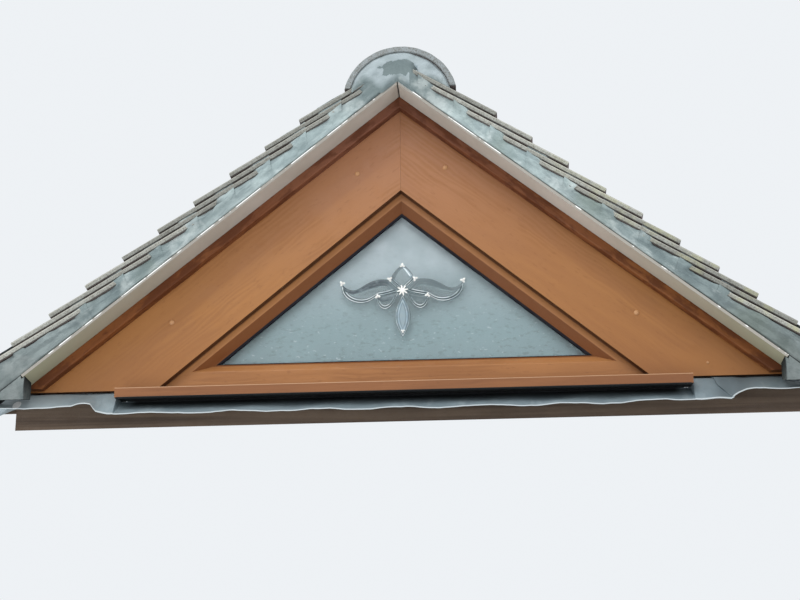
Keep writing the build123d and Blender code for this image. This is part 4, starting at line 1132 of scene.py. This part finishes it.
def edgeLine(curves, share):
    # points at the given shares of the whole length of some curves laid end to end, in metres
    line = np.concatenate([throughPoints(curve, 30) for curve in curves]) / 1000
    reach = np.concatenate([[0], np.cumsum(np.hypot(*np.diff(line, axis=0).T))])
    return np.stack([np.interp(share, reach / reach[-1], line[:, k]) for k in (0, 1)], axis=1)


def glassBody(first, second, side, mood):
    # lines drawn from edge to edge; each point's height follows its distance from the nearest edge or tip
    share = 0.5 - 0.5 * np.cos(pi * np.linspace(0.012, 0.988, cluster["rows"]))
    a, b = edgeLine(cluster[first], share), edgeLine(cluster[second], share)
    if first == second:
        b = b * np.array([-1, 1])
    wide = np.maximum(np.hypot(*(b - a).T), cluster["narrowest"])[:, None]
    s = np.minimum(np.array(cluster["levels"])[None, :] * cluster["bevel"] / wide, 0.5)
    s = np.concatenate([s, np.full((len(s), 1), 0.5), 1 - s[:, ::-1]], axis=1)
    tip = np.minimum(share, 1 - share)[:, None] * np.hypot(*(a[-1] - a[0])) * cluster["tipShare"]
    away = np.minimum(np.minimum(s, 1 - s) * wide, tip) / cluster["bevel"]
    level = np.clip(away, 0, 1)
    x, z = [a[:, k:k + 1] + (b[:, k:k + 1] - a[:, k:k + 1]) * s for k in (0, 1)]
    z = z + cluster["centre"]
    y = cluster["seat"] - cluster["land"] - cluster["drop"] * level
    rings = np.concatenate([toRow(side * x, y, z), toRow(side * ends(x), cluster["seat"], ends(z))], axis=1)
    rows = share[:, None]
    lower, band, sky = np.full(s.shape, 0.5), level, np.zeros(s.shape)
    if mood == "wing":
        # the upper bevel reads wider than the lower one
        lower, band = s > 0.5, np.where(s > 0.5, level, np.clip(away / cluster["wingWide"], 0, 1))
    # the kite's and the drop's "sky" mark is a painted sky reflection
    if mood == "kite":
        start, stop, rise, fall = cluster["kiteSky"]
        lower = np.clip(smooth(rows, *cluster["kiteLow"]) + cluster["leftLow"] * (s < 0.5), 0, 1)
        sky = (s < 0.5) * smooth(rows, *start) * fade(rows, *stop) * smooth(level, *rise) * fade(level, *fall)
    if mood == "pendant":
        start, stop, rise = cluster["pendantSky"]
        sky = cluster["pendantShine"] * smooth(level, *rise) * fade(rows, *stop) * smooth(rows, *start)
    return sweep(rings), dict(bevel=padded(band, 1.0), low=padded(lower), sky=padded(sky))


def cutStar(x, z, cut, turn):
    # rings of a star, r = reach (waist + (1 - waist) |cos(arms a / 2)| to a power), that shrink as they rise
    angle = np.linspace(0, 2 * pi, cut["arms"] * 8, endpoint=False)[None, :]
    petals = np.abs(np.cos(cut["arms"] * angle / 2)) ** cut["power"]
    up = np.array(cut["levels"])[:, None]
    radius = cut["reach"] * (cut["waist"] + (1 - cut["waist"]) * petals) * (1 - up * cut["taper"])
    y = cut["low"] + (cut["high"] - cut["low"]) * up
    return sweep(toRow(x + radius * np.cos(angle + turn), y, z + radius * np.sin(angle + turn)))


def clusterBody():
    made = [glassBody("kite", "kite", 1, "kite"), glassBody("pendant", "pendant", 1, "pendant")]
    for label, side in sides:
        made += [glassBody("wingTop", "wingLow", side, "wing"), glassBody("lobeTop", "lobeLow", side, "wing")]
    centre = cluster["centre"]
    cuts = [cutStar(0, centre, star, star["turn"])]
    cuts += [cutStar(x / 1000, centre + z / 1000, cutTip, radians(turn)) for x, z, turn in cluster["tips"]]
    plain, cut = sum(len(body[0]) for body, looks in made), sum(len(body[0]) for body in cuts)
    marks = {label: np.concatenate([looks[label] for body, looks in made] + [np.zeros(cut)])
             for label in ("bevel", "low", "sky")}
    # the star and the tips carry "glint": they are painted near white as highlights
    marks["glint"] = np.repeat([0.0, 1.0], [plain, cut])
    return joined([body for body, looks in made] + cuts), marks


glass, marks = clusterBody()
addPiece("bevelled_glass", glass, crystalMaterial(), ["bevel_cluster"], smoothAngle=18,
         marks=marks)
print("bevelled glass is cut")


# Rubber gasket round the pane, one mitred length a side; its sections are (inset, y)

gasket = dict(rake=[(0.0598, 0.0150), (0.0640, 0.0144), (0.0674, 0.0152), (0.0685, 0.0170), (0.0685, 0.0179),
                    (0.0598, 0.0179)],
              foot=[(0.0598, 0.0150), (0.0620, 0.0147), (0.0640, 0.0153), (0.0648, 0.0168), (0.0648, 0.0179),
                    (0.0598, 0.0179)],
              base=(0.170, 0.060, 0.019), lip=(0.004, 0.004, 0.008), worn=(0.008, 0.009, 0.014),
              lipStart=0.0625, soft=0.0003, wear=9.0, rough=(0.6, 0.8), bump=(0.1, 0.0004),
              shader={"Specular IOR Level": 0.2})


def gasketBody(first, second, section):
    # the section stands at two corners of the window's triangle: a corner at an inset is where the sides meet
    # once each has moved in by that much
    inset, y = np.array(section).T
    apex, foot = window["apex"] - inset / windowCos, window["foot"] + inset
    reach = (apex - foot) / windowTan
    corners = dict(left=(-reach, foot), top=(0 * reach, apex), right=(reach, foot))
    return sweep(np.stack([toRow(corners[end][0], y, corners[end][1]) for end in (first, second)]))


def gasketMaterial():
    # the gasket's base is foiled like the frame, and only its soft lip beside the pane is black
    material, tree, place = newMaterial("gasketRubber", gasket)
    worn = weathered(tree, place, gasket["wear"])
    rise = number(tree, "SUBTRACT", axes(tree, place)["Z"], toeZ + window["foot"])
    inset = number(tree, "MINIMUM", insetFrom(tree, place), rise)
    base = ranged(tree, inset, gasket["lipStart"] - gasket["soft"], gasket["lipStart"], 1, 0)
    colour = coat(tree, gasket["lip"], (worn["Cloud"], gasket["worn"]), (base, gasket["base"]))
    return painted(material, gasket, colour, worn["Patch"], worn["Grit"])


lengths = [gasketBody("left", "top", gasket["rake"]), gasketBody("top", "right", gasket["rake"]),
           gasketBody("right", "left", gasket["foot"])]
addPiece("pane_gasket", joined(lengths), gasketMaterial(), ["glazing_gasket"])


# Snap caps over the board fixings: each place is x, z and size

caps = dict(radius=0.0058, rise=0.0032, rings=6, turns=20, face=-0.018, sunk=0.0003, pale=(0.50, 0.26, 0.115),
            dark=(0.44, 0.215, 0.090), wear=30.0, rough=(0.35, 0.5), bump=(0.1, 0.0004),
            places=[(-0.095, 0.558, 1.0), (-0.494, 0.226, 1.0), (0.098, 0.5655, 1.0), (0.4955, 0.219, 1.0),
                    (0.637, 0.1055, 0.55)])


def capBody(x, z, size):
    # a low dome: rings of a circle whose radius shrinks as it rises, r = R cos(a), y = face - rise sin(a)
    angle = np.linspace(0, pi / 2 * 0.96, caps["rings"])[:, None]
    turn = np.linspace(0, 2 * pi, caps["turns"], endpoint=False)[None, :]
    radius = caps["radius"] * size * np.cos(angle)
    y = caps["face"] + caps["sunk"] - (caps["rise"] * size + caps["sunk"]) * np.sin(angle)
    return sweep(toRow(x + radius * np.cos(turn), y, z + radius * np.sin(turn)))


addPiece("fixing_caps", joined([capBody(*place) for place in caps["places"]]),
         plainMaterial("capPlastic", caps))
print("caps are on")
